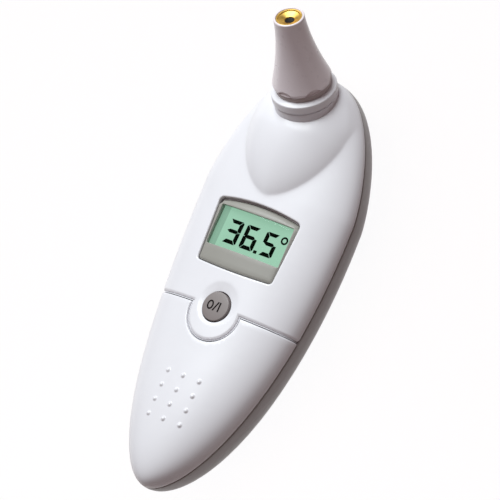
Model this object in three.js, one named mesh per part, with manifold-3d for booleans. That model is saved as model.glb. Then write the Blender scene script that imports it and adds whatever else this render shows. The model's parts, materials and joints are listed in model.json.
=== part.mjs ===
// Infrared ear thermometer, lying on its back.
// Millimetres. +X is the right-hand side seen from the front, +Y points to the probe
// end and +Z is the normal of the front face. The origin is the centre of the flat
// land on the back that the thermometer rests on.
import * as THREE from 'three';
import { mergeVertices } from 'three/addons/utils/BufferGeometryUtils.js';
import Module from 'manifold-3d';

// ---------------------------------------------------------------- driving dimensions

// Casing: an almond outline whose cross-sections are superellipses. The seam between
// the front and rear halves is one long arc, low in the middle and high at both ends.
const CASE = {
  halfWidth: 23.0,
  widestY: 31.9,
  headLength: 33.2,
  footLength: 79.2,
  headFullness: [1.414, 2.546],
  footFullness: [2.264, 1.777],
  seamHeight: 11.8,
  seamLowY: 1.9,
  seamRadius: 393,
  crownHeight: 8.54,
  rearDepth: 12.37,
  crownY: -11.3,
  crownHeadFullness: [2.736, 3.464],
  crownFootFullness: [2.389, 2.776],
  frontRoundness: 2.073,
  rearRoundness: 3.186,
};
const WALL = 1.8;
const GAP = 0.3;

// Nose: the domed rise of the front shell that carries the probe.
const NOSE = {
  centreY: 50.0,
  halfWidth: 14.3,
  reach: 18.6,
  roundness: 1.65,
  rise: 4.2,
  domePower: 0.75,
  creaseRadius: 0.03,
  fadeStartY: 48.0,
  spread: 0.1,
};

// Probe: everything on it is measured as a depth below the tip along the probe axis.
const PROBE = {
  lean: THREE.MathUtils.degToRad(31.9),
  collarTopY: 59.6,
  collarTopZ: 25.13,
  coneLength: 20.15,
  flareLength: 19.3,
  flarePower: 1.75,
  tipRadius: 3.92,
  skirtRadius: 7.57,
  coneWall: 1.2,
  funnelRadius: 3.25,
  funnelDepth: 1.1,
  guideRadius: 2.0,
  guideBore: 1.25,
  guideEnd: 17,
  sealRadius: 6.5,
  sealTop: 20.6,
  sealEnd: 22,
  collarDepth: 22.3,
  collarRadius: 8.47,
  collarHeight: 2.1,
  neckRadius: 8.2,
  neckEnd: 32,
  boreRadius: 5.0,
  boreEnd: 34,
};
const THUMB_NOTCH = { count: 6, halfWidth: 2.4, depth: 0.5, halfHeight: 0.9, aboveHem: 1.4 };

// Sensor: a machined barrel behind the light guide, with the sensor can inside it.
const BARREL = { radius: 4.2, top: 15, end: 31, bore: 3.1, lipBore: 2.3, lip: 2.3 };
const SENSOR_CAN = { radius: 2.75, top: 17.6, end: 21.3 };
const SENSOR_HEADER = { radius: 2.8, top: 21.6, end: 22.4 };
const SENSOR_PIN = { count: 4, radius: 0.25, circle: 1.8, top: 22, end: 25 };
const BARREL_NUT = { bore: 4.5, radius: 5.9, top: 29.2, end: 30.8 };
const RIBBON = { halfWidth: 2.2, thickness: 0.3, top: 25.5, bend: 31 };
const RIBBON_ON_BOARD = [[51, 15.4], [48, 14.95], [42, 14.95]];

// Front face.
const PARTING_Y = 0.47;
const TONGUE = { y: -0.8, radius: 7.3 };
const POWER_BUTTON = { y: 0.7, radius: 3.75, flange: 4.8, stem: 1.2, crown: 0.3 };
const DISH = { y: 1.6, radius: 5.7, depth: 0.6 };
const WINDOW = { topY: 27.4, topHalf: 12.75, topArch: 1.2, corner: 1.2 };
Object.assign(WINDOW, { bottomY: 10.6, bottomHalf: 11.85, bottomArch: 0.4 });
const VIEW = { halfWidth: 11.25, low: 15.3, high: 25.85 };
const BEZEL = { top: 0.3, bottom: 1.3 };
const LENS = { top: 0.6, bottom: 1.0 };
const GRIP = { columns: 3, rows: 4, firstY: -18.4, columnPitch: 4.94, rowPitch: 3.93, radius: 0.7 };

// Back.
const SCAN_BUTTON = { y: 39, radius: 5.0, proud: 0.7, flange: 6.2, wall: 0.9 };
const SCAN_STEM = { radius: 1.5, low: 4, top: 10.9 };
const HOUSING_SCREW = { x: 17.5, y: 30, tip: 16.2, headRadius: 1.9, shankRadius: 0.9 };
const WELL = { top: 8.0, radius: 2.3, postRadius: 3.2, postTop: 9.6, clearance: 1.2, clearanceTop: 14 };
const FRONT_BOSS = { radius: 2.4, low: 13.2, hole: 1.2, holeLow: 12, holeTop: 16.6 };

// Inside.
const BOARD = { low: 13.2, high: 14.4, halfWidth: 14.2, footY: -4, headY: 46, corner: 4 };
const LCD = { halfWidth: 11.6, low: 14.0, high: 27.0, bottom: 16.4, top: 17.8 };
const LCD_FRAME = { wall: 1.2, low: 14.7, high: 17.2 };
const CONNECTOR = { halfWidth: 10.5, depth: 1.6, low: 14.7, high: 16.1, lowerY: 14.4, upperY: 25.0 };
const CHIP = { halfSide: 4.5, y: 22, thickness: 1.2 };
const CRYSTAL = { left: -10, right: -7.6, low: 28, high: 34, thickness: 2.3 };
const CAPACITOR = { x: 9, y: 10, radius: 2, height: 4.5 };
const BUZZER = { y: 9, radius: 7, low: 2.1, high: 4.3 };
const SWITCH = { halfSide: 3, height: 1.3, pocketRadius: 1.75, pocketDepth: 1.0 };
const PLUNGER = { radius: 1.4, depth: 0.35 };
const CELL = { y: -21, radius: 10, thickness: 3.2, bottom: 13.75, gasket: 1.2, gasketStep: 0.3, edge: 0.3 };
const TRAY = { bottom: 15.2, top: 16.2, headY: 0.1 };
const CELL_WELL = { wall: 1.05, bottom: 12.4, floor: 13.4, play: 0.35 };
const TRAY_SEAT = { radius: 2.6, depth: 1.6, head: 2.1, hole: 1.1 };
const CONTACT = { halfWidth: 2.0, thickness: 0.3, channel: 2.4, z: 13.2, start: -5.6 };
const TRAY_SCREWS = [[-12, -6.5], [12, -6.5], [0, -38]];
const BOARD_SCREWS = [[-11.5, 40], [11.5, 40]];
const SMALL_SCREW = { headRadius: 1.75, shankRadius: 0.75, underHead: 0.3, trayTip: 8.5, boardTip: 8.0 };
const POST = { radius: 2.2, hole: 1.0, trayDrop: 1.9, holeLow: 7 };

// Far enough to cut right through the casing, up or down.
const FAR_UP = 40;
const FAR_DOWN = -10;

const ROUND = 20;
const HEAD_END = CASE.widestY + CASE.headLength;
const FOOT_END = CASE.widestY - CASE.footLength;
const MIDDLE_Y = (HEAD_END + FOOT_END) / 2;
const HALF_LENGTH = (HEAD_END - FOOT_END) / 2;

// ---------------------------------------------------------------- materials

function material(color, roughness, metalness = 0, opacity = 1) {
  return new THREE.MeshStandardMaterial({ color, roughness, metalness, opacity, transparent: opacity < 1 });
}
const WHITE_PLASTIC = material(0xf0eef4, 0.35);
const REAR_PLASTIC = material(0xb3a9a9, 0.45);
const PROBE_PLASTIC = material(0xc9c0c4, 0.35);
const GREY_PLASTIC = material(0xa5a39b, 0.5);
const BUTTON_PLASTIC = material(0x968c8c, 0.4);
const DARK_PLASTIC = material(0x2b2b2e, 0.6);
const SEAL_RUBBER = material(0x6e6868, 0.7);
const CLEAR_PLASTIC = material(0xffffff, 0.05, 0, 0.3);
const LCD_GLASS = material(0x9bcdb4, 0.2);
const BOARD_GREEN = material(0x1f5b38, 0.5);
const GOLD = material(0xd9a520, 0.2, 1);
const STEEL = material(0xc8c8c8, 0.3, 1);
const ALUMINIUM = material(0xb8babd, 0.4, 1);

// ---------------------------------------------------------------- solids

const wasm = await Module();
wasm.setup();

// A manifold solid from a closed geometry, whichever way its faces were wound.
function solidOf(geometry) {
  const bare = geometry.clone();
  bare.deleteAttribute('normal');
  bare.deleteAttribute('uv');
  const merged = mergeVertices(bare, 1e-4);
  const position = merged.attributes.position.array;
  const triangles = [];
  let volume = 0;
  for (let i = 0; i < merged.index.count; i += 3) {
    const [a, b, c] = [0, 1, 2].map((k) => merged.index.array[i + k]);
    if (a === b || b === c || c === a) continue;
    const [p, q, r] = [a, b, c].map((v) => new THREE.Vector3().fromArray(position, v * 3));
    volume += p.dot(q.cross(r));
    triangles.push([a, b, c]);
  }
  const wound = volume > 0 ? triangles : triangles.map(([a, b, c]) => [a, c, b]);
  return new wasm.Manifold(new wasm.Mesh({
    numProp: 3,
    vertProperties: new Float32Array(position),
    triVerts: new Uint32Array(wound.flat()),
  }));
}

function geometryOf(solid) {
  const mesh = solid.getMesh();
  const geometry = new THREE.BufferGeometry();
  geometry.setAttribute('position', new THREE.BufferAttribute(mesh.vertProperties.slice(), 3));
  geometry.setIndex(new THREE.BufferAttribute(mesh.triVerts.slice(), 1));
  geometry.computeVertexNormals();
  return geometry;
}

function box([x0, y0, z0], [x1, y1, z1]) {
  const geometry = new THREE.BoxGeometry(x1 - x0, y1 - y0, z1 - z0);
  geometry.translate((x0 + x1) / 2, (y0 + y1) / 2, (z0 + z1) / 2);
  return solidOf(geometry);
}

// A turned piece about Z. The profile is a list of [radius, height].
function turned(profile, x = 0, y = 0, segments = ROUND) {
  const points = profile.map(([radius, height]) => new THREE.Vector2(radius, height));
  const geometry = new THREE.LatheGeometry(points, segments);
  geometry.rotateX(Math.PI / 2);
  geometry.translate(x, y, 0);
  return solidOf(geometry);
}

function cylinder(radius, low, high, x = 0, y = 0, segments = ROUND) {
  return turned([[0, low], [radius, low], [radius, high], [0, high]], x, y, segments);
}

// A flat outline in X and Y, pulled from one height to another.
function pulled(shape, low, high, curveSegments = 12) {
  const depth = high - low;
  const geometry = new THREE.ExtrudeGeometry(shape, { depth, bevelEnabled: false, curveSegments });
  geometry.translate(0, 0, low);
  return solidOf(geometry);
}

// An outline in Y and Z, pulled along X to both sides of the centre plane.
function pulledAcross(points, halfWidth) {
  const shape = new THREE.Shape(points.map(([y, z]) => new THREE.Vector2(y, z)));
  const geometry = new THREE.ExtrudeGeometry(shape, { depth: 2 * halfWidth, bevelEnabled: false });
  geometry.applyMatrix4(new THREE.Matrix4().set(0, 0, 1, -halfWidth, 1, 0, 0, 0, 0, 1, 0, 0, 0, 0, 0, 1));
  return solidOf(geometry);
}

// A bent strip of sheet: a path in Y and Z with a thickness, pulled along X.
function strip(path, thickness, halfWidth) {
  const points = path.map(([y, z]) => new THREE.Vector2(y, z));
  const side = points.map((point, i) => {
    const before = points[Math.max(i - 1, 0)];
    const after = points[Math.min(i + 1, points.length - 1)];
    const along = after.clone().sub(before).normalize();
    return new THREE.Vector2(-along.y, along.x).multiplyScalar(thickness / 2);
  });
  const upper = points.map((point, i) => point.clone().add(side[i]));
  const lower = points.map((point, i) => point.clone().sub(side[i])).reverse();
  return pulledAcross([...upper, ...lower].map((point) => [point.x, point.y]), halfWidth);
}

// ---------------------------------------------------------------- casing surface

// One at the middle, falling to zero at t = 1.
function falloff(t, [outer, inner]) {
  return (1 - Math.min(Math.abs(t), 1) ** outer) ** (1 / inner);
}

function outlineAt(y) {
  const head = y > CASE.widestY;
  const reach = head ? CASE.headLength : CASE.footLength;
  return CASE.halfWidth * falloff((y - CASE.widestY) / reach, head ? CASE.headFullness : CASE.footFullness);
}

function seamAt(y) {
  return CASE.seamHeight + (y - CASE.seamLowY) ** 2 / (2 * CASE.seamRadius);
}

function depthShareAt(y) {
  const head = y > CASE.crownY;
  const reach = head ? HEAD_END - CASE.crownY : CASE.crownY - FOOT_END;
  return falloff((y - CASE.crownY) / reach, head ? CASE.crownHeadFullness : CASE.crownFootFullness);
}

// Height that the nose adds to the front face.
function noseAt(x, y) {
  const halfWidth = NOSE.halfWidth + NOSE.spread * Math.max(0, y - NOSE.centreY);
  const across = Math.abs(x / halfWidth) ** NOSE.roundness;
  const along = Math.max(0, (NOSE.centreY - y) / NOSE.reach) ** NOSE.roundness;
  const inside = 1 - across - along;
  const soft = (inside + Math.hypot(inside, NOSE.creaseRadius)) / 2;
  const fade = THREE.MathUtils.clamp((y - NOSE.fadeStartY) / (HEAD_END - NOSE.fadeStartY), 0, 1);
  return NOSE.rise * (0.5 + 0.5 * Math.cos(Math.PI * fade)) * soft ** NOSE.domePower;
}

// A point of the casing at station y, at an angle that runs over the front from the
// right side (0) to the left (pi) and back under the rear. An inset shrinks it evenly.
function casingPoint(y, angle, inset) {
  const c = Math.cos(angle);
  const s = Math.sin(angle);
  const roundness = s >= 0 ? CASE.frontRoundness : CASE.rearRoundness;
  const across = Math.sign(c) * Math.abs(c) ** (2 / roundness);
  const up = Math.abs(s) ** (2 / roundness);
  const x = outlineAt(y) * across;
  const insetY = MIDDLE_Y + (y - MIDDLE_Y) * (1 - inset / HALF_LENGTH);
  const nose = noseAt(x, y) * Math.min(1, 6 * (1 - Math.abs(across)));
  const height = s >= 0
    ? (CASE.crownHeight * depthShareAt(y) * up + nose) * (1 - inset / CASE.crownHeight)
    : -CASE.rearDepth * depthShareAt(y) * up * (1 - inset / CASE.rearDepth);
  return [x * (1 - inset / CASE.halfWidth), insetY, seamAt(insetY) + height];
}

function casing(inset = 0, stations = 28, turns = 32) {
  const points = [[0, MIDDLE_Y - HALF_LENGTH + inset, seamAt(FOOT_END + inset)]];
  for (let i = 1; i < stations; i += 1) {
    const y = MIDDLE_Y - HALF_LENGTH * Math.cos((Math.PI * i) / stations);
    for (let j = 0; j < turns; j += 1) {
      points.push(casingPoint(y, (2 * Math.PI * j) / turns, inset));
    }
  }
  points.push([0, MIDDLE_Y + HALF_LENGTH - inset, seamAt(HEAD_END - inset)]);
  const last = points.length - 1;
  const ring = (i, j) => 1 + (i - 1) * turns + (j % turns);
  const index = [];
  for (let j = 0; j < turns; j += 1) {
    index.push(0, ring(1, j + 1), ring(1, j));
    index.push(last, ring(stations - 1, j), ring(stations - 1, j + 1));
    for (let i = 1; i < stations - 1; i += 1) {
      index.push(ring(i, j), ring(i, j + 1), ring(i + 1, j));
      index.push(ring(i + 1, j), ring(i, j + 1), ring(i + 1, j + 1));
    }
  }
  const geometry = new THREE.BufferGeometry();
  geometry.setAttribute('position', new THREE.BufferAttribute(new Float32Array(points.flat()), 3));
  geometry.setIndex(index);
  return solidOf(geometry);
}

// Everything above (or below) the seam, kept clear of it by a distance.
function besideSeam(clearance) {
  const far = clearance > 0 ? 50 : -10;
  const line = [];
  for (let y = FOOT_END - 8; y <= HEAD_END + 8; y += 6) line.push([y, seamAt(y) + clearance]);
  return pulledAcross([...line, [line.at(-1)[0], far], [line[0][0], far]], CASE.halfWidth + 5);
}

// ---------------------------------------------------------------- probe frame

const PROBE_AXIS = new THREE.Vector3(0, Math.sin(PROBE.lean), Math.cos(PROBE.lean));
const PROBE_TIP = new THREE.Vector3(0, PROBE.collarTopY, PROBE.collarTopZ)
  .addScaledVector(PROBE_AXIS, PROBE.collarDepth);
const probeFrame = new THREE.Matrix4()
  .makeRotationX(-PROBE.lean)
  .setPosition(PROBE_TIP);

// A turned piece on the probe axis. The profile is a list of [radius, depth below the tip].
function turnedOnProbe(profile) {
  return turned(profile.map(([radius, depth]) => [radius, -depth]));
}

// The same piece where the probe stands, for cutting and joining the casing.
function placedOnProbe(profile) {
  const points = profile.map(([radius, depth]) => new THREE.Vector2(radius, -depth));
  const geometry = new THREE.LatheGeometry(points, ROUND);
  geometry.rotateX(Math.PI / 2);
  geometry.applyMatrix4(probeFrame);
  return solidOf(geometry);
}

function rod(radius, shallow, deep) {
  return [[0, shallow], [radius, shallow], [radius, deep], [0, deep]];
}

function ringProfile(inner, outer, shallow, deep) {
  return [[inner, shallow], [outer, shallow], [outer, deep], [inner, deep], [inner, shallow]];
}

const thermometer = new THREE.Group();
const probe = new THREE.Group();
probe.position.copy(PROBE_TIP);
probe.rotation.x = -PROBE.lean;
thermometer.add(probe);

function addPiece(name, solid, look, group = thermometer) {
  const mesh = new THREE.Mesh(geometryOf(solid), look);
  mesh.name = name;
  group.add(mesh);
}

// ---------------------------------------------------------------- outlines on the face

// Front shell: everything headward of the parting line, with a round tongue under the button.
function frontRegion() {
  const shape = new THREE.Shape();
  const far = CASE.halfWidth + 5;
  shape.moveTo(-far, PARTING_Y);
  shape.lineTo(-TONGUE.radius, PARTING_Y);
  shape.absarc(0, TONGUE.y, TONGUE.radius, Math.PI, 2 * Math.PI, false);
  shape.lineTo(TONGUE.radius, PARTING_Y);
  shape.lineTo(far, PARTING_Y);
  shape.lineTo(far, HEAD_END + 8);
  shape.lineTo(-far, HEAD_END + 8);
  return shape;
}

function coverRegion() {
  const shape = new THREE.Shape();
  const far = CASE.halfWidth + 5;
  const edge = PARTING_Y - GAP;
  const radius = TONGUE.radius + GAP;
  shape.moveTo(-far, FOOT_END - 8);
  shape.lineTo(far, FOOT_END - 8);
  shape.lineTo(far, edge);
  shape.lineTo(radius, edge);
  shape.absarc(0, TONGUE.y, radius, 0, -Math.PI, true);
  shape.lineTo(-radius, edge);
  shape.lineTo(-far, edge);
  return shape;
}

// Display window: straight sides that spread upward, arched ends, round corners.
function windowRegion(inset = 0) {
  const top = WINDOW.topY - inset;
  const bottom = WINDOW.bottomY + inset;
  const topX = WINDOW.topHalf - inset;
  const bottomX = WINDOW.bottomHalf - inset;
  const { corner } = WINDOW;
  const shape = new THREE.Shape();
  shape.moveTo(-bottomX + corner, bottom);
  shape.quadraticCurveTo(0, bottom - 2 * WINDOW.bottomArch, bottomX - corner, bottom);
  shape.quadraticCurveTo(bottomX, bottom, bottomX, bottom + corner);
  shape.lineTo(topX, top - corner);
  shape.quadraticCurveTo(topX, top, topX - corner, top + WINDOW.topArch * 0.2);
  shape.quadraticCurveTo(0, top + 1.8 * WINDOW.topArch, -topX + corner, top + WINDOW.topArch * 0.2);
  shape.quadraticCurveTo(-topX, top, -topX, top - corner);
  shape.lineTo(-bottomX, bottom + corner);
  shape.quadraticCurveTo(-bottomX, bottom, -bottomX + corner, bottom);
  return shape;
}

// ---------------------------------------------------------------- casing pieces

const outside = casing();
const inside = casing(WALL, 18, 24);
const clearOfWalls = casing(WALL + GAP, 16, 24);
const wallMiddle = casing(WALL / 2, 18, 24);
const faceTop = seamAt(POWER_BUTTON.y) + CASE.crownHeight * depthShareAt(POWER_BUTTON.y);

// The cutter of the shallow round dish that a fingertip finds the power button by.
function buttonDish() {
  const { y, radius, depth } = DISH;
  const sphere = (radius ** 2 + depth ** 2) / (2 * depth);
  const reach = 1.5 * radius;
  const steps = 5;
  const profile = [];
  for (let i = 0; i <= steps; i += 1) {
    const r = (reach * i) / steps;
    profile.push([r, faceTop - depth + sphere - Math.sqrt(sphere ** 2 - r ** 2)]);
  }
  profile.push([reach, FAR_UP], [0, FAR_UP]);
  return turned(profile, 0, y);
}

// The casing inset by a distance, fine enough for the small pieces that follow its surface.
function finely(inset) {
  return casing(inset, 24, 28);
}

// Material of the casing between two depths under its surface.
function skin(shallow, deep) {
  return finely(shallow).subtract(finely(deep));
}

function makeFrontShell() {
  const seat = PROBE.collarDepth + PROBE.collarHeight + GAP;
  const neck = placedOnProbe(rod(PROBE.neckRadius, seat, PROBE.neckEnd));
  const bore = placedOnProbe(rod(PROBE.boreRadius, PROBE.collarDepth, PROBE.boreEnd));
  const collarSeat = placedOnProbe(rod(PROBE.collarRadius + GAP, PROBE.collarDepth / 2, seat));
  let shell = outside.add(neck).intersect(besideSeam(GAP / 2)).subtract(inside);
  shell = shell.intersect(pulled(frontRegion(), 0, FAR_UP)).subtract(bore).subtract(collarSeat);
  shell = shell.subtract(pulled(windowRegion(), LCD.top - 1, FAR_UP));
  shell = shell.subtract(buttonDish());
  shell = shell.subtract(cylinder(POWER_BUTTON.radius + GAP, LCD.top - 2, FAR_UP, 0, POWER_BUTTON.y));
  for (const side of [-1, 1]) {
    const x = side * HOUSING_SCREW.x;
    const { radius, low, hole, holeLow, holeTop } = FRONT_BOSS;
    const boss = cylinder(radius, low, FAR_UP, x, HOUSING_SCREW.y).intersect(wallMiddle);
    shell = shell.add(boss).subtract(cylinder(hole, holeLow, holeTop, x, HOUSING_SCREW.y));
  }
  return shell;
}

function makeBatteryCover() {
  let cover = outside.intersect(besideSeam(GAP / 2)).subtract(inside);
  cover = cover.intersect(pulled(coverRegion(), 0, FAR_UP));
  for (let row = 0; row < GRIP.rows; row += 1) {
    for (let column = 0; column < GRIP.columns; column += 1) {
      const x = (column - (GRIP.columns - 1) / 2) * GRIP.columnPitch;
      const y = GRIP.firstY - row * GRIP.rowPitch;
      const rise = falloff(x / outlineAt(y), [CASE.frontRoundness, CASE.frontRoundness]);
      const bump = new THREE.OctahedronGeometry(GRIP.radius, 1);
      bump.translate(x, y, seamAt(y) + CASE.crownHeight * depthShareAt(y) * rise);
      cover = cover.add(solidOf(bump));
    }
  }
  return cover;
}

// The scan button is a patch of the casing's own surface, standing a little proud.
function makeScanButton() {
  const { y, radius, flange, proud, wall } = SCAN_BUTTON;
  const stem = cylinder(SCAN_STEM.radius, SCAN_STEM.low, SCAN_STEM.top, 0, y);
  const cap = cylinder(radius, FAR_DOWN, CASE.seamHeight, 0, y).intersect(finely(-proud));
  const rim = cylinder(flange, FAR_DOWN, CASE.seamHeight, 0, y).intersect(finely(WALL + GAP));
  return cap.add(rim).subtract(finely(WALL + GAP + wall)).add(stem);
}

function makeRearShell() {
  let shell = outside.intersect(besideSeam(-GAP / 2)).subtract(inside);
  const post = (radius, top, x, y) => cylinder(radius, FAR_DOWN, top, x, y, 16).intersect(wallMiddle);
  for (const side of [-1, 1]) {
    const x = side * HOUSING_SCREW.x;
    shell = shell.add(post(WELL.postRadius, WELL.postTop, x, HOUSING_SCREW.y));
    shell = shell.subtract(cylinder(WELL.radius, FAR_DOWN, WELL.top, x, HOUSING_SCREW.y));
    shell = shell.subtract(cylinder(WELL.clearance, 0, WELL.clearanceTop, x, HOUSING_SCREW.y));
  }
  const screwPosts = [
    ...TRAY_SCREWS.map((place) => [...place, TRAY.bottom - POST.trayDrop]),
    ...BOARD_SCREWS.map((place) => [...place, BOARD.low - GAP]),
  ];
  for (const [x, y, top] of screwPosts) {
    shell = shell.add(post(POST.radius, top, x, y));
    shell = shell.subtract(cylinder(POST.hole, POST.holeLow, FAR_UP, x, y));
  }
  shell = shell.subtract(cylinder(SCAN_BUTTON.radius + GAP, FAR_DOWN, CASE.seamHeight - 3, 0, SCAN_BUTTON.y));
  const far = CASE.footLength;
  return shell.subtract(box([-far, -far, FAR_DOWN], [far, far, 0]));
}

addPiece('front_shell', makeFrontShell(), WHITE_PLASTIC);
addPiece('rear_shell', makeRearShell(), REAR_PLASTIC);
addPiece('battery_cover', makeBatteryCover(), WHITE_PLASTIC);
addPiece('scan_button', makeScanButton(), BUTTON_PLASTIC);

// ---------------------------------------------------------------- power button

// A cap on a flange that keeps it in the shell, with a short stem over the plunger.
const buttonUnder = faceTop - WALL - GAP;
const stemEnd = buttonUnder - 1.5;

function makePowerButton() {
  const { y, radius, flange, stem, crown } = POWER_BUTTON;
  const flangeLow = buttonUnder - 0.6;
  const edge = 0.3;
  return turned([
    [0, stemEnd], [stem, stemEnd], [stem, flangeLow], [flange, flangeLow], [flange, buttonUnder],
    [radius, buttonUnder], [radius, faceTop - edge], [radius - edge, faceTop],
    [0.6 * radius, faceTop + 0.6 * crown], [0, faceTop + crown],
  ], 0, y);
}
addPiece('power_button', makePowerButton(), BUTTON_PLASTIC);

// ---------------------------------------------------------------- probe pieces

function coneRadius(depth) {
  const flare = Math.min(depth / PROBE.flareLength, 1) ** PROBE.flarePower;
  return PROBE.tipRadius + (PROBE.skirtRadius - PROBE.tipRadius) * flare;
}

// A thin flared wall. Inside, it follows the flare down to a seat for the light guide.
function makeCone() {
  const { coneLength, flareLength, coneWall, skirtRadius, tipRadius } = PROBE;
  const seat = PROBE.funnelRadius + 0.2;
  const sleeve = PROBE.guideRadius + 0.35;
  const rounding = 0.2;
  const hem = 0.4;
  const profile = [[seat, 0], [tipRadius - rounding, 0]];
  const steps = 7;
  for (let i = 0; i <= steps; i += 1) {
    const depth = rounding + ((flareLength - rounding) * i) / steps;
    profile.push([coneRadius(depth), depth]);
  }
  profile.push([skirtRadius, coneLength - hem], [skirtRadius - hem, coneLength]);
  profile.push([skirtRadius - coneWall, coneLength], [skirtRadius - coneWall, flareLength]);
  for (const share of [0.8, 0.6, 0.4]) {
    const depth = share * flareLength;
    profile.push([coneRadius(depth) - coneWall, depth]);
  }
  profile.push([sleeve, 0.25 * flareLength], [sleeve, 2.4], [seat, 1.5], [seat, 0]);
  return turnedOnProbe(profile);
}

// Shallow thumb notches just above the lower edge of the cone.
function notched(cone) {
  const { count, halfWidth, depth, halfHeight, aboveHem } = THUMB_NOTCH;
  let cut = cone;
  for (let i = 0; i < count; i += 1) {
    const notch = new THREE.SphereGeometry(1, 10, 6);
    notch.scale(halfWidth, depth, halfHeight);
    notch.translate(0, -PROBE.skirtRadius, -PROBE.coneLength + aboveHem);
    notch.rotateZ((i * 2 * Math.PI) / count);
    cut = cut.subtract(solidOf(notch));
  }
  return cut;
}

// Gilded tube that leads the infrared light to the sensor, with a flared mouth.
function makeWaveguide() {
  const { funnelRadius, funnelDepth, guideRadius, guideBore, guideEnd } = PROBE;
  const rim = 0.3;
  return turnedOnProbe([
    [guideBore, funnelDepth], [0.8 * funnelRadius, 2 * rim], [funnelRadius, rim],
    [funnelRadius, rim + 0.5], [guideRadius, rim + 1.5], [guideRadius, guideEnd], [guideBore, guideEnd],
    [guideBore, funnelDepth],
  ]);
}

function makeBarrel() {
  const { radius, top, end, bore, lipBore, lip } = BARREL;
  return turnedOnProbe([
    [lipBore, top], [radius, top], [radius, end], [bore, end], [bore, top + lip], [lipBore, top + lip],
    [lipBore, top],
  ]);
}

function makeSensorHeader() {
  let header = turnedOnProbe(rod(SENSOR_HEADER.radius, SENSOR_HEADER.top, SENSOR_HEADER.end));
  const { count, radius, circle, top, end } = SENSOR_PIN;
  for (let i = 0; i < count; i += 1) {
    const angle = Math.PI / 4 + (i * 2 * Math.PI) / count;
    header = header.add(cylinder(radius, -end, -top, circle * Math.cos(angle), circle * Math.sin(angle), 8));
  }
  return header;
}

function makeProbeSeal() {
  return turnedOnProbe(ringProfile(PROBE.boreRadius, PROBE.sealRadius, PROBE.sealTop, PROBE.sealEnd));
}

function makeProbeCollar() {
  const { boreRadius, collarRadius, collarDepth, collarHeight } = PROBE;
  return turnedOnProbe(ringProfile(boreRadius, collarRadius, collarDepth, collarDepth + collarHeight));
}

function makeBarrelNut() {
  return turnedOnProbe(ringProfile(BARREL_NUT.bore, BARREL_NUT.radius, BARREL_NUT.top, BARREL_NUT.end));
}

addPiece('probe_cone', notched(makeCone()), PROBE_PLASTIC, probe);
addPiece('waveguide', makeWaveguide(), GOLD, probe);
addPiece('probe_seal', makeProbeSeal(), SEAL_RUBBER, probe);
addPiece('probe_collar', makeProbeCollar(), WHITE_PLASTIC, probe);
addPiece('sensor_barrel', makeBarrel(), ALUMINIUM, probe);
addPiece('sensor_can', turnedOnProbe(rod(SENSOR_CAN.radius, SENSOR_CAN.top, SENSOR_CAN.end)), STEEL, probe);
addPiece('sensor_header', makeSensorHeader(), GOLD, probe);
addPiece('retaining_nut', makeBarrelNut(), ALUMINIUM, probe);

// ---------------------------------------------------------------- display

// A block over the viewing area, smaller all round by an inset.
function viewBlock(inset) {
  const x = VIEW.halfWidth - inset;
  return box([-x, VIEW.low + inset, BOARD.high], [x, VIEW.high - inset, FAR_UP]);
}

function makeBezel() {
  const plate = pulled(windowRegion(GAP), BOARD.high, FAR_UP, 6);
  return plate.intersect(skin(BEZEL.top, BEZEL.bottom)).subtract(viewBlock(0));
}

function makeLens() {
  return viewBlock(GAP).intersect(skin(LENS.top, LENS.bottom));
}

function makeLcdGlass() {
  return box([-LCD.halfWidth, LCD.low, LCD.bottom], [LCD.halfWidth, LCD.high, LCD.top]);
}

function makeLcdFrame() {
  const { wall, low, high } = LCD_FRAME;
  const x = LCD.halfWidth + GAP;
  const [foot, head] = [LCD.low - GAP, LCD.high + GAP];
  const outer = box([-x - wall, foot - wall, low], [x + wall, head + wall, high]);
  return outer.subtract(box([-x, foot, 0], [x, head, FAR_UP]));
}

// A conductive rubber strip between the board and an edge of the display glass.
function makeConnector(y) {
  const { halfWidth, depth, low, high } = CONNECTOR;
  return box([-halfWidth, y, low], [halfWidth, y + depth, high]);
}

addPiece('display_bezel', makeBezel(), GREY_PLASTIC);
addPiece('display_lens', makeLens(), CLEAR_PLASTIC);
addPiece('lcd_glass', makeLcdGlass(), LCD_GLASS);
addPiece('lcd_frame', makeLcdFrame(), DARK_PLASTIC);
addPiece('connector_strip_lower', makeConnector(CONNECTOR.lowerY), SEAL_RUBBER);
addPiece('connector_strip_upper', makeConnector(CONNECTOR.upperY), SEAL_RUBBER);

// ---------------------------------------------------------------- circuit board

function makeBoard() {
  const { halfWidth, footY, headY, corner } = BOARD;
  const shape = new THREE.Shape();
  shape.moveTo(-halfWidth + corner, footY);
  shape.lineTo(halfWidth - corner, footY);
  shape.lineTo(halfWidth, footY + corner);
  shape.lineTo(halfWidth, headY - corner);
  shape.lineTo(halfWidth - corner, headY);
  shape.lineTo(-halfWidth + corner, headY);
  shape.lineTo(-halfWidth, headY - corner);
  shape.lineTo(-halfWidth, footY + corner);
  let board = pulled(shape, BOARD.low, BOARD.high);
  for (const [x, y] of BOARD_SCREWS) {
    board = board.subtract(cylinder(WELL.clearance, 0, FAR_UP, x, y));
  }
  return board;
}

// Components stand this far clear of either side of the board.
const overBoard = BOARD.high + GAP;
const underBoard = BOARD.low - GAP;

// A tact switch: a square body with a round pocket for its plunger. It stands on the
// board's top or hangs under it.
function makeSwitch(y, hanging) {
  const { halfSide, height, pocketRadius, pocketDepth } = SWITCH;
  const low = hanging ? underBoard - height : overBoard;
  const high = low + height;
  const pocket = hanging ? [low - 1, low + pocketDepth] : [high - pocketDepth, high + 1];
  const body = box([-halfSide, y - halfSide, low], [halfSide, y + halfSide, high]);
  return body.subtract(cylinder(pocketRadius, ...pocket, 0, y));
}

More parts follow.
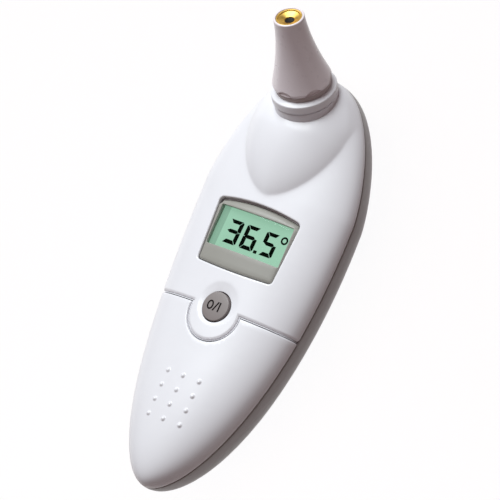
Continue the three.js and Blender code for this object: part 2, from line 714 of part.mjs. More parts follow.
// The sensor's flexible strip, which comes down the probe and lies on the board.
function makeRibbon() {
  const start = PROBE_TIP.clone().addScaledVector(PROBE_AXIS, -RIBBON.top);
  const bend = PROBE_TIP.clone().addScaledVector(PROBE_AXIS, -RIBBON.bend);
  const path = [[start.y, start.z], [bend.y, bend.z], ...RIBBON_ON_BOARD];
  return strip(path, RIBBON.thickness, RIBBON.halfWidth);
}

function makeChip() {
  const { halfSide, y, thickness } = CHIP;
  return box([-halfSide, y - halfSide, underBoard - thickness], [halfSide, y + halfSide, underBoard]);
}

function makeCrystal() {
  const { left, right, low, high, thickness } = CRYSTAL;
  return box([left, low, underBoard - thickness], [right, high, underBoard]);
}

function makeCapacitor(side) {
  const { x, y, radius, height } = CAPACITOR;
  return cylinder(radius, underBoard - height, underBoard, side * x, y);
}

// Each plunger stands in its switch's pocket, short of the pocket's bottom, and stops
// short of the stem that presses it.
function makePlunger(y, low, high) {
  return cylinder(PLUNGER.radius, low, high, 0, y);
}
const powerPlungerLow = overBoard + SWITCH.height - PLUNGER.depth;
const powerPlunger = makePlunger(POWER_BUTTON.y, powerPlungerLow, stemEnd - GAP);
const scanPlungerTop = underBoard - SWITCH.height + PLUNGER.depth;
const scanPlunger = makePlunger(SCAN_BUTTON.y, SCAN_STEM.top + GAP, scanPlungerTop);

addPiece('main_board', makeBoard(), BOARD_GREEN);
addPiece('processor_chip', makeChip(), DARK_PLASTIC);
addPiece('crystal', makeCrystal(), STEEL);
addPiece('capacitor_left', makeCapacitor(-1), DARK_PLASTIC);
addPiece('capacitor_right', makeCapacitor(1), DARK_PLASTIC);
addPiece('buzzer', cylinder(BUZZER.radius, BUZZER.low, BUZZER.high, 0, BUZZER.y, 32), STEEL);
addPiece('sensor_ribbon', makeRibbon(), BOARD_GREEN);
addPiece('power_switch', makeSwitch(POWER_BUTTON.y, false), DARK_PLASTIC);
addPiece('power_switch_plunger', powerPlunger, BUTTON_PLASTIC);
addPiece('scan_switch', makeSwitch(SCAN_BUTTON.y, true), DARK_PLASTIC);
addPiece('scan_switch_plunger', scanPlunger, BUTTON_PLASTIC);

// ---------------------------------------------------------------- battery bay

// A deck with a round well for the cell, a channel under it for the lower contact, an
// opening under the power button and a countersunk seat for each screw.
function makeTray() {
  const { bottom, top, headY } = TRAY;
  const { floor } = CELL_WELL;
  const rim = CELL.radius + CELL_WELL.play;
  const far = CASE.footLength;
  const deck = clearOfWalls.intersect(box([-far, -far, bottom], [far, headY, top]));
  const well = cylinder(rim + CELL_WELL.wall, CELL_WELL.bottom, top, 0, CELL.y, 28).intersect(clearOfWalls);
  const channelFoot = CELL.y - 0.6 * CELL.radius;
  const channelHead = CELL.y + 1.6 * CELL.radius;
  let tray = deck.add(well).subtract(cylinder(rim, floor, FAR_UP, 0, CELL.y, 28));
  tray = tray.subtract(box([-CONTACT.channel, channelFoot, 0], [CONTACT.channel, channelHead, floor + 0.1]));
  tray = tray.subtract(cylinder(POWER_BUTTON.flange + GAP, 0, FAR_UP, 0, POWER_BUTTON.y));
  for (const [x, y] of TRAY_SCREWS) {
    tray = tray.add(cylinder(TRAY_SEAT.radius, bottom - TRAY_SEAT.depth, top, x, y).intersect(clearOfWalls));
    tray = tray.subtract(cylinder(TRAY_SEAT.head, bottom, FAR_UP, x, y));
    tray = tray.subtract(cylinder(TRAY_SEAT.hole, 0, FAR_UP, x, y));
  }
  return tray;
}

function makeCell() {
  const { radius, thickness, bottom, y, gasket, gasketStep, edge } = CELL;
  const top = bottom + thickness;
  return turned([
    [0, bottom], [radius - gasket, bottom], [radius - gasket, bottom + gasketStep],
    [radius - edge, bottom + 2 * gasketStep], [radius, bottom + 3 * gasketStep], [radius, top - edge],
    [radius - edge, top], [0, top],
  ], 0, y, 28);
}

// The lower contact lies in the tray's channel, and the upper one springs down on the cell.
const negativePath = [[CELL.y - CELL.radius / 2, CONTACT.z], [CONTACT.start, CONTACT.z]];
const positivePath = [[-5.5, 16.7], [-8.6, 16.7], [-10.2, 17.45], [-14, 17.45], [-15.5, 17.8]];

addPiece('battery_tray', makeTray(), WHITE_PLASTIC);
addPiece('coin_cell', makeCell(), STEEL);
addPiece('battery_contact_negative', strip(negativePath, CONTACT.thickness, CONTACT.halfWidth), STEEL);
addPiece('battery_contact_positive', strip(positivePath, CONTACT.thickness, CONTACT.halfWidth), STEEL);

// ---------------------------------------------------------------- screws

// A pan head screw with a cross slot. It points down, or up where the head is below.
function screw(x, y, headUnder, tipZ, { headRadius, shankRadius }) {
  const up = tipZ > headUnder ? 1 : -1;
  const headTop = headUnder - up;
  const profile = [
    [0, tipZ], [shankRadius * 0.5, tipZ], [shankRadius, tipZ - up], [shankRadius, headUnder],
    [headRadius, headUnder], [headRadius, headTop + 0.4 * up], [headRadius * 0.7, headTop], [0, headTop],
  ];
  const reach = 0.6 * headRadius;
  const half = 0.2;
  const ends = [headTop - up, headTop + 0.5 * up];
  const [low, high] = [Math.min(...ends), Math.max(...ends)];
  const slots = box([x - reach, y - half, low], [x + reach, y + half, high])
    .add(box([x - half, y - reach, low], [x + half, y + reach, high]));
  return turned(profile, x, y, 10).subtract(slots);
}

TRAY_SCREWS.forEach(([x, y], i) => {
  const solid = screw(x, y, TRAY.bottom + SMALL_SCREW.underHead, SMALL_SCREW.trayTip, SMALL_SCREW);
  addPiece(`tray_screw_${i + 1}`, solid, STEEL);
});
BOARD_SCREWS.forEach(([x, y], i) => {
  const solid = screw(x, y, BOARD.high + SMALL_SCREW.underHead, SMALL_SCREW.boardTip, SMALL_SCREW);
  addPiece(`board_screw_${i + 1}`, solid, STEEL);
});
[-1, 1].forEach((side, i) => {
  const { x, y, tip } = HOUSING_SCREW;
  const solid = screw(side * x, y, WELL.top - GAP, tip, HOUSING_SCREW);
  addPiece(`housing_screw_${i + 1}`, solid, STEEL);
});

export default thermometer;
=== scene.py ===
"""Looks of an infrared ear thermometer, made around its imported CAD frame.

The object's lengths are in millimetres up to the moment that a mesh is made, and those of
the stage, light and camera are in metres. +X is the right-hand side seen from the front,
+Y points to the probe end and +Z out of the front face.
"""

import bisect
import json
import math

import bmesh
import bpy
from mathutils import Matrix, Vector
from mathutils.geometry import delaunay_2d_cdt
from mathutils.kdtree import KDTree


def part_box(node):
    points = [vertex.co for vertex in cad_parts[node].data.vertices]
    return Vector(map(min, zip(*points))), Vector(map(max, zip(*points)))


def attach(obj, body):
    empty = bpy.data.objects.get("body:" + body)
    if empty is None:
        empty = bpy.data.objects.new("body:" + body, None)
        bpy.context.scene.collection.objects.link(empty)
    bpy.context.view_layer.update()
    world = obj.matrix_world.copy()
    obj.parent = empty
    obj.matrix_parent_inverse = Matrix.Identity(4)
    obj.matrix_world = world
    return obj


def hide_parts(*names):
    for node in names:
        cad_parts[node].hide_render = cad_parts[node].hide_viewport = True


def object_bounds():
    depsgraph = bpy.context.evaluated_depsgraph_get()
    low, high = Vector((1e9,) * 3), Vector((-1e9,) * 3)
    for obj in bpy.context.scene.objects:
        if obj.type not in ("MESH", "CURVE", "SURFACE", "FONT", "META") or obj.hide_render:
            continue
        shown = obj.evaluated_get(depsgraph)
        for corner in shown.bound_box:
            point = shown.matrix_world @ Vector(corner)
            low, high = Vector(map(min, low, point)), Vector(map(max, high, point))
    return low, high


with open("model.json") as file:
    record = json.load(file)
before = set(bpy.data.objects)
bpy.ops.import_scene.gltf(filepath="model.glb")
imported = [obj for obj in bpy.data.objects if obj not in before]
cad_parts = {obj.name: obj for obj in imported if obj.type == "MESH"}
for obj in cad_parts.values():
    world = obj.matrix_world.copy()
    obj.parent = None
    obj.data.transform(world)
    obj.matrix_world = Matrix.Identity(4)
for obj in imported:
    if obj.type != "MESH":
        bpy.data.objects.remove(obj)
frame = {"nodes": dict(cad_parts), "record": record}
CAD_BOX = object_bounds()
MM = 0.001
CASING = "casing"

# ---------------------------------------------------------------- driving dimensions

# Casing: an almond outline whose cross-sections are superellipses, with the seam
# between its front and rear halves on one long arc.
CASE = {
    "half_width": 22.97,
    "widest_y": 31.9,
    "head_length": 33.2,
    "foot_length": 79.19,
    "head_fullness": (1.414, 2.546),
    "foot_fullness": (2.264, 1.777),
    "seam_height": 11.8,
    "seam_low_y": 1.9,
    "seam_radius": 393,
    "crown_height": 8.54,
    "rear_depth": 12.37,
    "crown_y": -11.3,
    "crown_head_fullness": (2.736, 3.464),
    "crown_foot_fullness": (2.389, 2.776),
    "front_roundness": 2.073,
    "rear_roundness": 3.186,
}
WALL = 1.8
GAP = 0.3
LAND_SOFTNESS = 0.2

# Nose: the domed rise of the front shell that carries the probe.
NOSE = {
    "centre_y": 50.0,
    "half_width": 14.3,
    "reach": 18.6,
    "roundness": 1.65,
    "rise": 4.2,
    "dome_power": 0.75,
    "crease_radius": 0.03,
    "fade_start_y": 48.0,
    "spread": 0.1,
    "seam_fade": 6,
}

# Probe: radii, with depths measured from the tip along the probe axis.
PROBE = {
    "lean": math.radians(31.9),
    "collar_top_y": 59.6,
    "collar_top_z": 25.13,
    "cone_length": 20.15,
    "flare_length": 19.3,
    "flare_power": 1.75,
    "tip_radius": 3.92,
    "skirt_radius": 7.57,
    "cone_wall": 1.2,
    "funnel_radius": 3.25,
    "throat_depth": 1.1,
    "guide_radius": 2.0,
    "guide_bore": 1.25,
    "guide_end": 17.0,
    "seal_radius": 7.05,
    "seal_depth": 20.3,
    "collar_depth": 22.3,
    "collar_crown": 0.6,
    "collar_radius": 8.47,
    "collar_height": 2.1,
    "neck_radius": 8.2,
    "neck_end": 32.0,
    "bore_radius": 5.0,
}
THUMB_NOTCH = {"count": 6, "half_width": 2.1, "height": 1.35, "depth": 0.42, "hem": 0.2}
THUMB_NOTCH.update({"skin": 0.6, "ramp": 0.1, "steepness": 5})

# Ear cone: its rounded lip and hem, its rows of points and its bore, as depths under the tip.
CONE = {
    "lip": 0.3,
    "hem": 0.5,
    "round_steps": 6,
    "row": 0.6,
    "rows": 30,
    "fine_start": 18.6,
    "fine_row": 0.1,
    "fine_rows": 9,
    "inner_depths": (16, 12, 8),
    "bore_clearance": 0.35,
    "bore_depths": (5, 2.4),
    "seat_end": 1.5,
    "seat_clearance": 0.1,
    "seat_bevel": 0.12,
    "segments": 288,
}

# Neck under the collar, with a spigot inside its rim, and the funnel with its stepped rim.
NECK = {"gap": 1.4 * GAP, "spigot_rise": 0.35, "rim": 0.9}
FUNNEL = {"rim": 0.4, "rim_depth": 0.5, "land": 0.06, "land_depth": 0.2, "top": 0.16}
# The lining entries place a dark sleeve in the bore, painted shade for the depth of the hole.
FUNNEL.update({"flange_end": 0.9, "taper_end": 1.8, "lining": 0.12, "lining_gap": 0.02, "lining_start": 0.3})

# Front face.
PARTING_Y = 0.47
TONGUE = {"y": -0.8, "radius": 7.3}
DISH = {"y": 1.6, "radius": 5.7, "depth": 0.75, "crease": 0.1}
PARTING_BEVEL = {"width": 0.6, "depth": 0.34}
PARTING_GAP = 0.5
PARTING_STEPS = 22
PARTING_LEDGE = {"gap": 0.13, "width": 0.22, "top": 0.45, "bottom": 1.3}
WINDOW = {"shift": -0.3, "top_y": 27.4, "top_half": 12.8, "top_arch": 1.2}
WINDOW.update({"bottom_y": 10.6, "bottom_half": 11.9, "bottom_arch": 0.4, "corner": 1.2, "shoulder": 0.2})
VIEW = {"left": -11.55, "right": 11.2, "low": 15.3, "high": 25.85, "corner": 0.35}
BEZEL = {"depth": 0.3, "thickness": 1.3, "gutter": 1.3, "gutter_width": 1.5, "gutter_fade": 0.5}
LENS = {"depth": 0.6, "thickness": 0.4, "clearance": 0.05, "round": 0.08}
GRIP = {"columns": 3, "rows": 4, "first_y": -18.4, "column_pitch": 4.94, "row_pitch": 3.93}
GRIP.update({"radius": 0.7, "height": 0.42, "power": 1.5})

# Radii of the moulded edges.
EDGE = {"seam": 0.3, "parting": 0.28, "window": 0.35, "button": 0.18, "bezel": 0.8, "view": 0.12}

# Mesh fineness: how far apart points lie, and how many steps curves have.
PITCH = 0.95
SEED_CLEARANCE = 0.55 * PITCH
OUTLINE_STEP = 0.8
CREASE_STEP = 0.6
EDGE_STEPS = 4
CORNER_STEPS = 5
ARCH_STEPS = 24
TONGUE_STEPS = 48
STATION_COUNT = 186
ROUND = 128

# Distances at which a skin's free points keep off an edge, with and without guard rows around it,
# its cross-sections keep off the parting line, and its inner wall runs straight down.
BEYOND_EDGE = 0.5
GUARD_ROWS = [0.5, 1.0]
BEYOND_GUARDS = 1.2
BEYOND_PARTING = 0.4
STRAIGHT_WALL = 0.3

# Rows of points along features: shares of the bevel's width and of the dish's and bumps' radii,
# and levels on both sides of the nose's crease. Free points start at a feature's reach.
BEVEL_ROWS = (0, 0.5, 0.95, 1.05, 1.4)
BEVEL_REACH = 1.2
DISH_ROWS = (0.88, 0.96, 1.0, 1.04, 1.12)
BUMP_ROWS = (0.25, 0.5, 0.7, 0.85, 1.0, 1.25)
BUMP_REACH = 1.6
BUMP_STEPS = 20
CREASE_ROWS = (-0.12, -0.06, -0.025, 0.0, 0.025, 0.06, 0.12)

# A distance longer than any on the object, and the gap in metres that is welded shut.
FAR = 1e9
WELD = 1e-7

HEAD_END = CASE["widest_y"] + CASE["head_length"]
FOOT_END = CASE["widest_y"] - CASE["foot_length"]
MIDDLE_Y = (HEAD_END + FOOT_END) / 2
HALF_LENGTH = (HEAD_END - FOOT_END) / 2


def cad_box(node):
    """Lowest and highest corner of a CAD node, in millimetres."""
    low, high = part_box(node)
    return low / MM, high / MM


def cad_centre(node):
    low, high = cad_box(node)
    return (low + high) / 2


# ---------------------------------------------------------------- casing surface

def falloff(t, fullness):
    """One at the middle, falling to zero at t = 1."""
    outer, inner = fullness
    return (1 - min(abs(t), 1) ** outer) ** (1 / inner)


def outline_at(y):
    if y > CASE["widest_y"]:
        reach, fullness = CASE["head_length"], CASE["head_fullness"]
    else:
        reach, fullness = CASE["foot_length"], CASE["foot_fullness"]
    return CASE["half_width"] * falloff((y - CASE["widest_y"]) / reach, fullness)


def seam_at(y):
    return CASE["seam_height"] + (y - CASE["seam_low_y"]) ** 2 / (2 * CASE["seam_radius"])


def depth_share_at(y):
    if y > CASE["crown_y"]:
        reach, fullness = HEAD_END - CASE["crown_y"], CASE["crown_head_fullness"]
    else:
        reach, fullness = CASE["crown_y"] - FOOT_END, CASE["crown_foot_fullness"]
    return falloff((y - CASE["crown_y"]) / reach, fullness)


def nose_inside(x, y):
    """Above zero inside the nose's outline on the face, and zero on its crease."""
    half_width = NOSE["half_width"] + NOSE["spread"] * max(0, y - NOSE["centre_y"])
    across = abs(x / half_width) ** NOSE["roundness"]
    along = max(0, (NOSE["centre_y"] - y) / NOSE["reach"]) ** NOSE["roundness"]
    return 1 - across - along


def nose_at(x, y):
    """Height that the nose adds to the front face."""
    inside = nose_inside(x, y)
    soft = (inside + math.hypot(inside, NOSE["crease_radius"])) / 2
    fade = (y - NOSE["fade_start_y"]) / (HEAD_END - NOSE["fade_start_y"])
    fade = min(max(fade, 0), 1)
    return NOSE["rise"] * (0.5 + 0.5 * math.cos(math.pi * fade)) * soft ** NOSE["dome_power"]


def soft_floor(z):
    """z, but never under zero, with a soft crease around the flat land on the back."""
    return (z + math.hypot(z, LAND_SOFTNESS)) / 2


def station_of(y):
    """Unrolled length coordinate of station y, which stretches both ends of the casing."""
    return HALF_LENGTH * math.acos(min(max((MIDDLE_Y - y) / HALF_LENGTH, -1), 1))


def y_of(station):
    return MIDDLE_Y - HALF_LENGTH * math.cos(station / HALF_LENGTH)


class Side:
    """The front or the rear half of the casing, unrolled into a plane.

    A point of the plane is (girth, station). Girth runs along the cross-section in
    millimetres, from zero on the centre plane to +-reach at the seam.
    """

    TABLE_STEPS = 600

    def __init__(self, sign, depth, roundness):
        self.sign = sign
        self.depth = depth
        self.roundness = roundness
        self.angles = []
        self.girths = []
        girth, before = 0.0, None
        for i in range(self.TABLE_STEPS + 1):
            t = i / self.TABLE_STEPS
            angle = math.pi / 2 * (3 * t * t - 2 * t ** 3)
            across, up = self.share(angle)
            here = Vector((CASE["half_width"] * across, depth * up))
            if before is not None:
                girth += (here - before).length
            before = here
            self.angles.append(angle)
            self.girths.append(girth)

    def share(self, angle):
        """How far across and how far up a point is, from 0 to 1, at an angle from the crown."""
        across = max(math.sin(angle), 0) ** (2 / self.roundness)
        up = max(math.cos(angle), 0) ** (2 / self.roundness)
        return across, up

    def angle_of(self, girth):
        girth = min(abs(girth), self.girths[-1])
        i = min(max(bisect.bisect_left(self.girths, girth), 1), self.TABLE_STEPS)
        low, high = self.girths[i - 1], self.girths[i]
        t = (girth - low) / (high - low)
        return self.angles[i - 1] + t * (self.angles[i] - self.angles[i - 1])

    def girth_of(self, angle):
        i = min(max(bisect.bisect_left(self.angles, angle), 1), self.TABLE_STEPS)
        low, high = self.angles[i - 1], self.angles[i]
        t = (angle - low) / (high - low)
        return self.girths[i - 1] + t * (self.girths[i] - self.girths[i - 1])

    def girth_at_height(self, y, height):
        """Girth where the surface is that far from the seam."""
        up = min(height / max(self.depth * depth_share_at(y), height), 1)
        return self.girth_of(math.acos(min(up ** (self.roundness / 2), 1)))

    def unrolled(self, x, y):
        share = min(abs(x) / outline_at(y), 1)
        angle = math.asin(share ** (self.roundness / 2))
        return math.copysign(self.girth_of(angle), x), station_of(y)

    def unrolled_line(self, points):
        return [self.unrolled(x, y) for x, y in points]

    def plan(self, point):
        """x and y of an unrolled point."""
        girth, station = point
        y = y_of(station)
        across, _ = self.share(self.angle_of(girth))
        return math.copysign(outline_at(y) * across, girth), y

    def height(self, point):
        """Distance from the seam, without the nose."""
        girth, station = point
        _, up = self.share(self.angle_of(girth))
        return self.depth * depth_share_at(y_of(station)) * up

    def surface(self, point, inset=0):
        girth, station = point
        y = y_of(station)
        across, up = self.share(self.angle_of(girth))
        x = math.copysign(outline_at(y) * across, girth)
        inset_y = MIDDLE_Y + (y - MIDDLE_Y) * (1 - inset / HALF_LENGTH)
        height = self.depth * depth_share_at(y) * up
        if self.sign > 0:
            height += nose_at(x, y) * min(1, NOSE["seam_fade"] * (1 - across))
        height *= 1 - inset / self.depth
        z = seam_at(inset_y) + self.sign * height
        return Vector((x * (1 - inset / CASE["half_width"]), inset_y, z if self.sign > 0 else soft_floor(z)))

    def normal(self, point):
        """Outward unit normal, from differences on the surface."""
        girth, station = point
        step = 0.01
        far = math.pi * HALF_LENGTH
        if station < step or station > far - step:
            return Vector((0, -1 if station < step else 1, 0))
        along_girth = self.surface((girth + step, station)) - self.surface((girth - step, station))
        along_station = self.surface((girth, station + step)) - self.surface((girth, station - step))
        return self.sign * along_girth.cross(along_station).normalized()


FRONT = Side(1, CASE["crown_height"], CASE["front_roundness"])
REAR = Side(-1, CASE["rear_depth"], CASE["rear_roundness"])


def face_height(x, y):
    """z of the front face over a point of the plan."""
    share = min(abs(x) / outline_at(y), 1)
    up = (1 - share ** CASE["front_roundness"]) ** (1 / CASE["front_roundness"])
    return seam_at(y) + CASE["crown_height"] * depth_share_at(y) * up + nose_at(x, y)


# ---------------------------------------------------------------- outlines

def bezier(start, control, end, steps=8):
    """Points of a quadratic curve, without its last one."""
    points = []
    for i in range(steps):
        t = i / steps
        points.append(tuple(
            a * (1 - t) ** 2 + 2 * b * t * (1 - t) + c * t * t
            for a, b, c in zip(start, control, end)
        ))
    return points


def arc(x, y, radius, start, end, steps):
    """Points on an arc from one angle to another, both ends included."""
    angles = [start + (end - start) * i / steps for i in range(steps + 1)]
    return [(x + radius * math.cos(a), y + radius * math.sin(a)) for a in angles]


def circle(x, y, radius, steps=64):
    return arc(x, y, radius, 0, 2 * math.pi, steps)[:-1]


def resampled(points, step, closed=True):
    """The same line with points no further apart than step."""
    ends = points[1:] + points[:1] if closed else points[1:]
    made = []
    for (x0, y0), (x1, y1) in zip(points, ends):
        count = max(1, math.ceil(math.hypot(x1 - x0, y1 - y0) / step))
        made += [(x0 + (x1 - x0) * i / count, y0 + (y1 - y0) * i / count) for i in range(count)]
    return made if closed else made + [points[-1]]


def grown(points, distance):
    """A closed counterclockwise outline moved outward by a distance."""
    made = []
    for i, (x, y) in enumerate(points):
        before, after = points[i - 1], points[(i + 1) % len(points)]
        dx, dy = after[0] - before[0], after[1] - before[1]
        length = math.hypot(dx, dy)
        made.append((x + distance * dy / length, y - distance * dx / length))
    return made


def distance_outside(points, x, y):
    """Distance from a closed convex counterclockwise outline, below zero inside it."""
    nearest, inside = FAR, True
    for i, (x1, y1) in enumerate(points):
        x0, y0 = points[i - 1]
        dx, dy = x1 - x0, y1 - y0
        t = min(max(((x - x0) * dx + (y - y0) * dy) / (dx * dx + dy * dy), 0), 1)
        nearest = min(nearest, math.hypot(x - x0 - t * dx, y - y0 - t * dy))
        if dx * (y - y0) - dy * (x - x0) < 0:
            inside = False
    return -nearest if inside else nearest


def window_outline():
    """Straight sides that spread upward, arched ends and round corners."""
    top, bottom, corner = WINDOW["top_y"], WINDOW["bottom_y"], WINDOW["corner"]
    top_x, bottom_x = WINDOW["top_half"], WINDOW["bottom_half"]
    shoulder = top + WINDOW["shoulder"] * WINDOW["top_arch"]
    control = top + (2 - WINDOW["shoulder"]) * WINDOW["top_arch"]
    points = bezier((-bottom_x + corner, bottom), (0, bottom - 2 * WINDOW["bottom_arch"]),
                    (bottom_x - corner, bottom), ARCH_STEPS)
    points += bezier((bottom_x - corner, bottom), (bottom_x, bottom), (bottom_x, bottom + corner))
    points += [(bottom_x, bottom + corner)]
    points += bezier((top_x, top - corner), (top_x, top), (top_x - corner, shoulder))
    points += bezier((top_x - corner, shoulder), (0, control), (-top_x + corner, shoulder), ARCH_STEPS)
    points += bezier((-top_x + corner, shoulder), (-top_x, top), (-top_x, top - corner))
    points += [(-top_x, top - corner)]
    points += bezier((-bottom_x, bottom + corner), (-bottom_x, bottom), (-bottom_x + corner, bottom))
    return resampled([(x + WINDOW["shift"], y) for x, y in points], OUTLINE_STEP)


def rounded_rectangle(x0, y0, x1, y1, corner):
    centres = [(x1 - corner, y0 + corner), (x1 - corner, y1 - corner),
               (x0 + corner, y1 - corner), (x0 + corner, y0 + corner)]
    points = []
    for i, (x, y) in enumerate(centres):
        points += arc(x, y, corner, (i - 1) * math.pi / 2, i * math.pi / 2, CORNER_STEPS)
    return resampled(points, OUTLINE_STEP)


WINDOW_OUTLINE = window_outline()


def edge_offsets(radius):
    """Distances from an edge at which a round of that radius gets its rows of points."""
    quarter = math.pi / 2
    return [radius * (1 - math.cos(quarter * i / EDGE_STEPS)) for i in range(EDGE_STEPS + 1)]


def edge_drop(distance, radius):
    """How far a rounded edge lies under the surface, at a distance from the edge."""
    if distance >= radius:
        return 0.0
    return radius - math.sqrt(max(radius ** 2 - (radius - max(distance, 0)) ** 2, 0))


# ---------------------------------------------------------------- mesh helpers

def added(name, data):
    """A new object in the scene."""
    made = bpy.data.objects.new(name, data)
    bpy.context.scene.collection.objects.link(made)
    return made


def mesh_piece(name, points, faces, slot, look=None, body=CASING, replaces=(), smooth=True):
    """A closed mesh of points in millimetres, as a piece that rides on a body.

    It has its slot's look, unless another look is given.
    """
    mesh = bpy.data.meshes.new(name)
    mesh.from_pydata([Vector(p) * MM for p in points], [], faces)
    work = bmesh.new()
    work.from_mesh(mesh)
    bmesh.ops.remove_doubles(work, verts=work.verts, dist=WELD)
    bmesh.ops.dissolve_degenerate(work, edges=work.edges, dist=WELD)
    bmesh.ops.recalc_face_normals(work, faces=work.faces)
    for face in work.faces:
        face.smooth = smooth
    work.to_mesh(mesh)
    work.free()
    piece = added(name, mesh)
    mesh.materials.append(look or LOOKS[slot])
    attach(piece, body)
    if replaces:
        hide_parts(*replaces)
    return piece


def triangles_between(loops, lines=(), seeds=(), tolerance=1e-5):
    """Points and triangles inside the first loop, with every loop and line kept as an edge."""
    points, edges = [], []
    for loop in loops:
        first = len(points)
        points += loop
        edges += [(first + i, first + (i + 1) % len(loop)) for i in range(len(loop))]
    for line in lines:
        first = len(points)
        points += line
        edges += [(first + i, first + i + 1) for i in range(len(line) - 1)]
    tree = KDTree(len(points))
    for i, (a, b) in enumerate(points):
        tree.insert((a, b, 0), i)
    tree.balance()
    points += [p for p in seeds if tree.find((*p, 0))[2] > SEED_CLEARANCE]
    made = delaunay_2d_cdt([Vector(p) for p in points], edges, [], 1, tolerance)
    return [tuple(p) for p in made[0]], [tuple(face) for face in made[2]]


def faces_where(points, triangles, wanted):
    """The triangles over whose middle wanted(x, y) is true."""
    kept = []
    for face in triangles:
        x = sum(points[i][0] for i in face) / 3
        y = sum(points[i][1] for i in face) / 3
        if wanted(x, y):
            kept.append(face)
    return kept


def wall_between(triangles, count):
    """Faces of a closed wall whose second skin follows the first skin's points by count."""
    used = set()
    for a, b, c in triangles:
        used.update([(a, b), (b, c), (c, a)])
    faces = list(triangles) + [(c + count, b + count, a + count) for a, b, c in triangles]
    for a, b in used:
        if (b, a) not in used:
            faces.append((b, a, a + count, b + count))
    return faces


def filleted(corners):
    """A profile whose corners are rounded. A corner is (radius, height, fillet)."""
    made = []
    for i, (x, y, fillet) in enumerate(corners):
        if not fillet:
            made.append((x, y))
            continue
        here = Vector((x, y))
        before = Vector(corners[i - 1][:2]) - here
        after = Vector(corners[(i + 1) % len(corners)][:2]) - here
        half = before.angle(after) / 2
        back = fillet / math.tan(half)
        start, end = here + before.normalized() * back, here + after.normalized() * back
        middle = here + (before.normalized() + after.normalized()).normalized() * fillet / math.sin(half)
        for k in range(CORNER_STEPS + 1):
            ray = (start - middle).lerp(end - middle, k / CORNER_STEPS)
            made.append(tuple(middle + ray.normalized() * fillet))
    return made


def lathe_faces(rings, segments):
    """Quads over rings of points that close on themselves, from a profile that closes too."""
    faces = []
    for i in range(rings):
        for j in range(segments):
            a = i * segments + j
            b = i * segments + (j + 1) % segments
            c = (i + 1) % rings * segments + (j + 1) % segments
            d = (i + 1) % rings * segments + j
            faces.append((a, b, c, d))
    return faces


def turned(name, profile, place, slot, segments=ROUND, shape=None, **options):
    """A turned piece. The profile closes on itself, or starts and ends on the axis.

    place is the matrix of the axis, and shape may change (radius, height) at an angle.
    """
    points = []
    for radius, height in profile:
        for j in range(segments):
            angle = 2 * math.pi * j / segments
            r, h = shape(radius, height, angle) if shape else (radius, height)
            points.append(place @ Vector((r * math.cos(angle), r * math.sin(angle), h)))
    return mesh_piece(name, points, lathe_faces(len(profile), segments), slot, **options)


def upright(x, y):
    return Matrix.Translation((x, y, 0))


def plate(name, loops, base, low, high, slot, **options):
    """A thin piece from low to high over base(x, y), inside the first loop and outside the others."""

    def wanted(x, y):
        return all(distance_outside(hole, x, y) > 0 for hole in loops[1:])

    flat, triangles = triangles_between(loops, tolerance=1e-6)
    solid = [(x, y, base(x, y) + height) for height in (high, low) for x, y in flat]
    faces = wall_between(faces_where(flat, triangles, wanted), len(flat))
    return mesh_piece(name, solid, faces, slot, smooth=False, **options)


# ---------------------------------------------------------------- materials

# The stretch of a noise pattern's values that carries its change.
NOISE_START, NOISE_END = 0.3, 0.7
SHARP_ANGLE = math.radians(32)


class Look:
    """A material whose colour, roughness and relief come from node patterns."""

    def __init__(self, name, **sockets):
        self.material = bpy.data.materials.new(name)
        self.material.use_nodes = True
        self.tree = self.material.node_tree
        self.shader = self.tree.nodes["Principled BSDF"]
        self.place = self.node("ShaderNodeTexCoord").outputs["Object"]
        self.relief_end = None
        for socket, value in sockets.items():
            self.shader.inputs[socket.replace("_", " ")].default_value = value

    def node(self, kind, **settings):
        made = self.tree.nodes.new(kind)
        for setting, value in settings.items():
            setattr(made, setting, value)
        return made

    def link(self, output, socket):
        self.tree.links.new(output, socket)

    def noise(self, size, detail, stretch=(1, 1, 1)):
        """Noise whose blotches are about size millimetres across."""
        mapping = self.node("ShaderNodeMapping")
        mapping.inputs["Scale"].default_value = stretch
        self.link(self.place, mapping.inputs["Vector"])
        noise = self.node("ShaderNodeTexNoise")
        noise.inputs["Scale"].default_value = 1 / (size * MM)
        noise.inputs["Detail"].default_value = detail
        self.link(mapping.outputs[0], noise.inputs["Vector"])
        return noise.outputs["Fac"]

    def ranged(self, pattern, low, high):
        spread = self.node("ShaderNodeMapRange")
        spread.inputs["From Min"].default_value = NOISE_START
        spread.inputs["From Max"].default_value = NOISE_END
        spread.inputs["To Min"].default_value = low
        spread.inputs["To Max"].default_value = high
        self.link(pattern, spread.inputs["Value"])
        return spread.outputs["Result"]

    def colour(self, pattern, low, high, start=NOISE_START, end=NOISE_END):
        ramp = self.node("ShaderNodeValToRGB")
        ramp.color_ramp.elements[0].position = start
        ramp.color_ramp.elements[0].color = (*low, 1)
        ramp.color_ramp.elements[1].position = end
        ramp.color_ramp.elements[1].color = (*high, 1)
        self.link(pattern, ramp.inputs["Fac"])
        self.link(ramp.outputs["Color"], self.shader.inputs["Base Color"])
        return self

    def rough(self, pattern, low, high):
        self.link(self.ranged(pattern, low, high), self.shader.inputs["Roughness"])
        return self

    def relief(self, pattern, height):
        """Adds relief of a height in millimetres."""
        bump = self.node("ShaderNodeBump")
        bump.inputs["Distance"].default_value = height * MM
        bump.inputs["Strength"].default_value = 1.0
        self.link(pattern, bump.inputs["Height"])
        if self.relief_end is not None:
            self.link(self.relief_end, bump.inputs["Normal"])
        self.relief_end = bump.outputs["Normal"]
        self.link(self.relief_end, self.shader.inputs["Normal"])
        return self


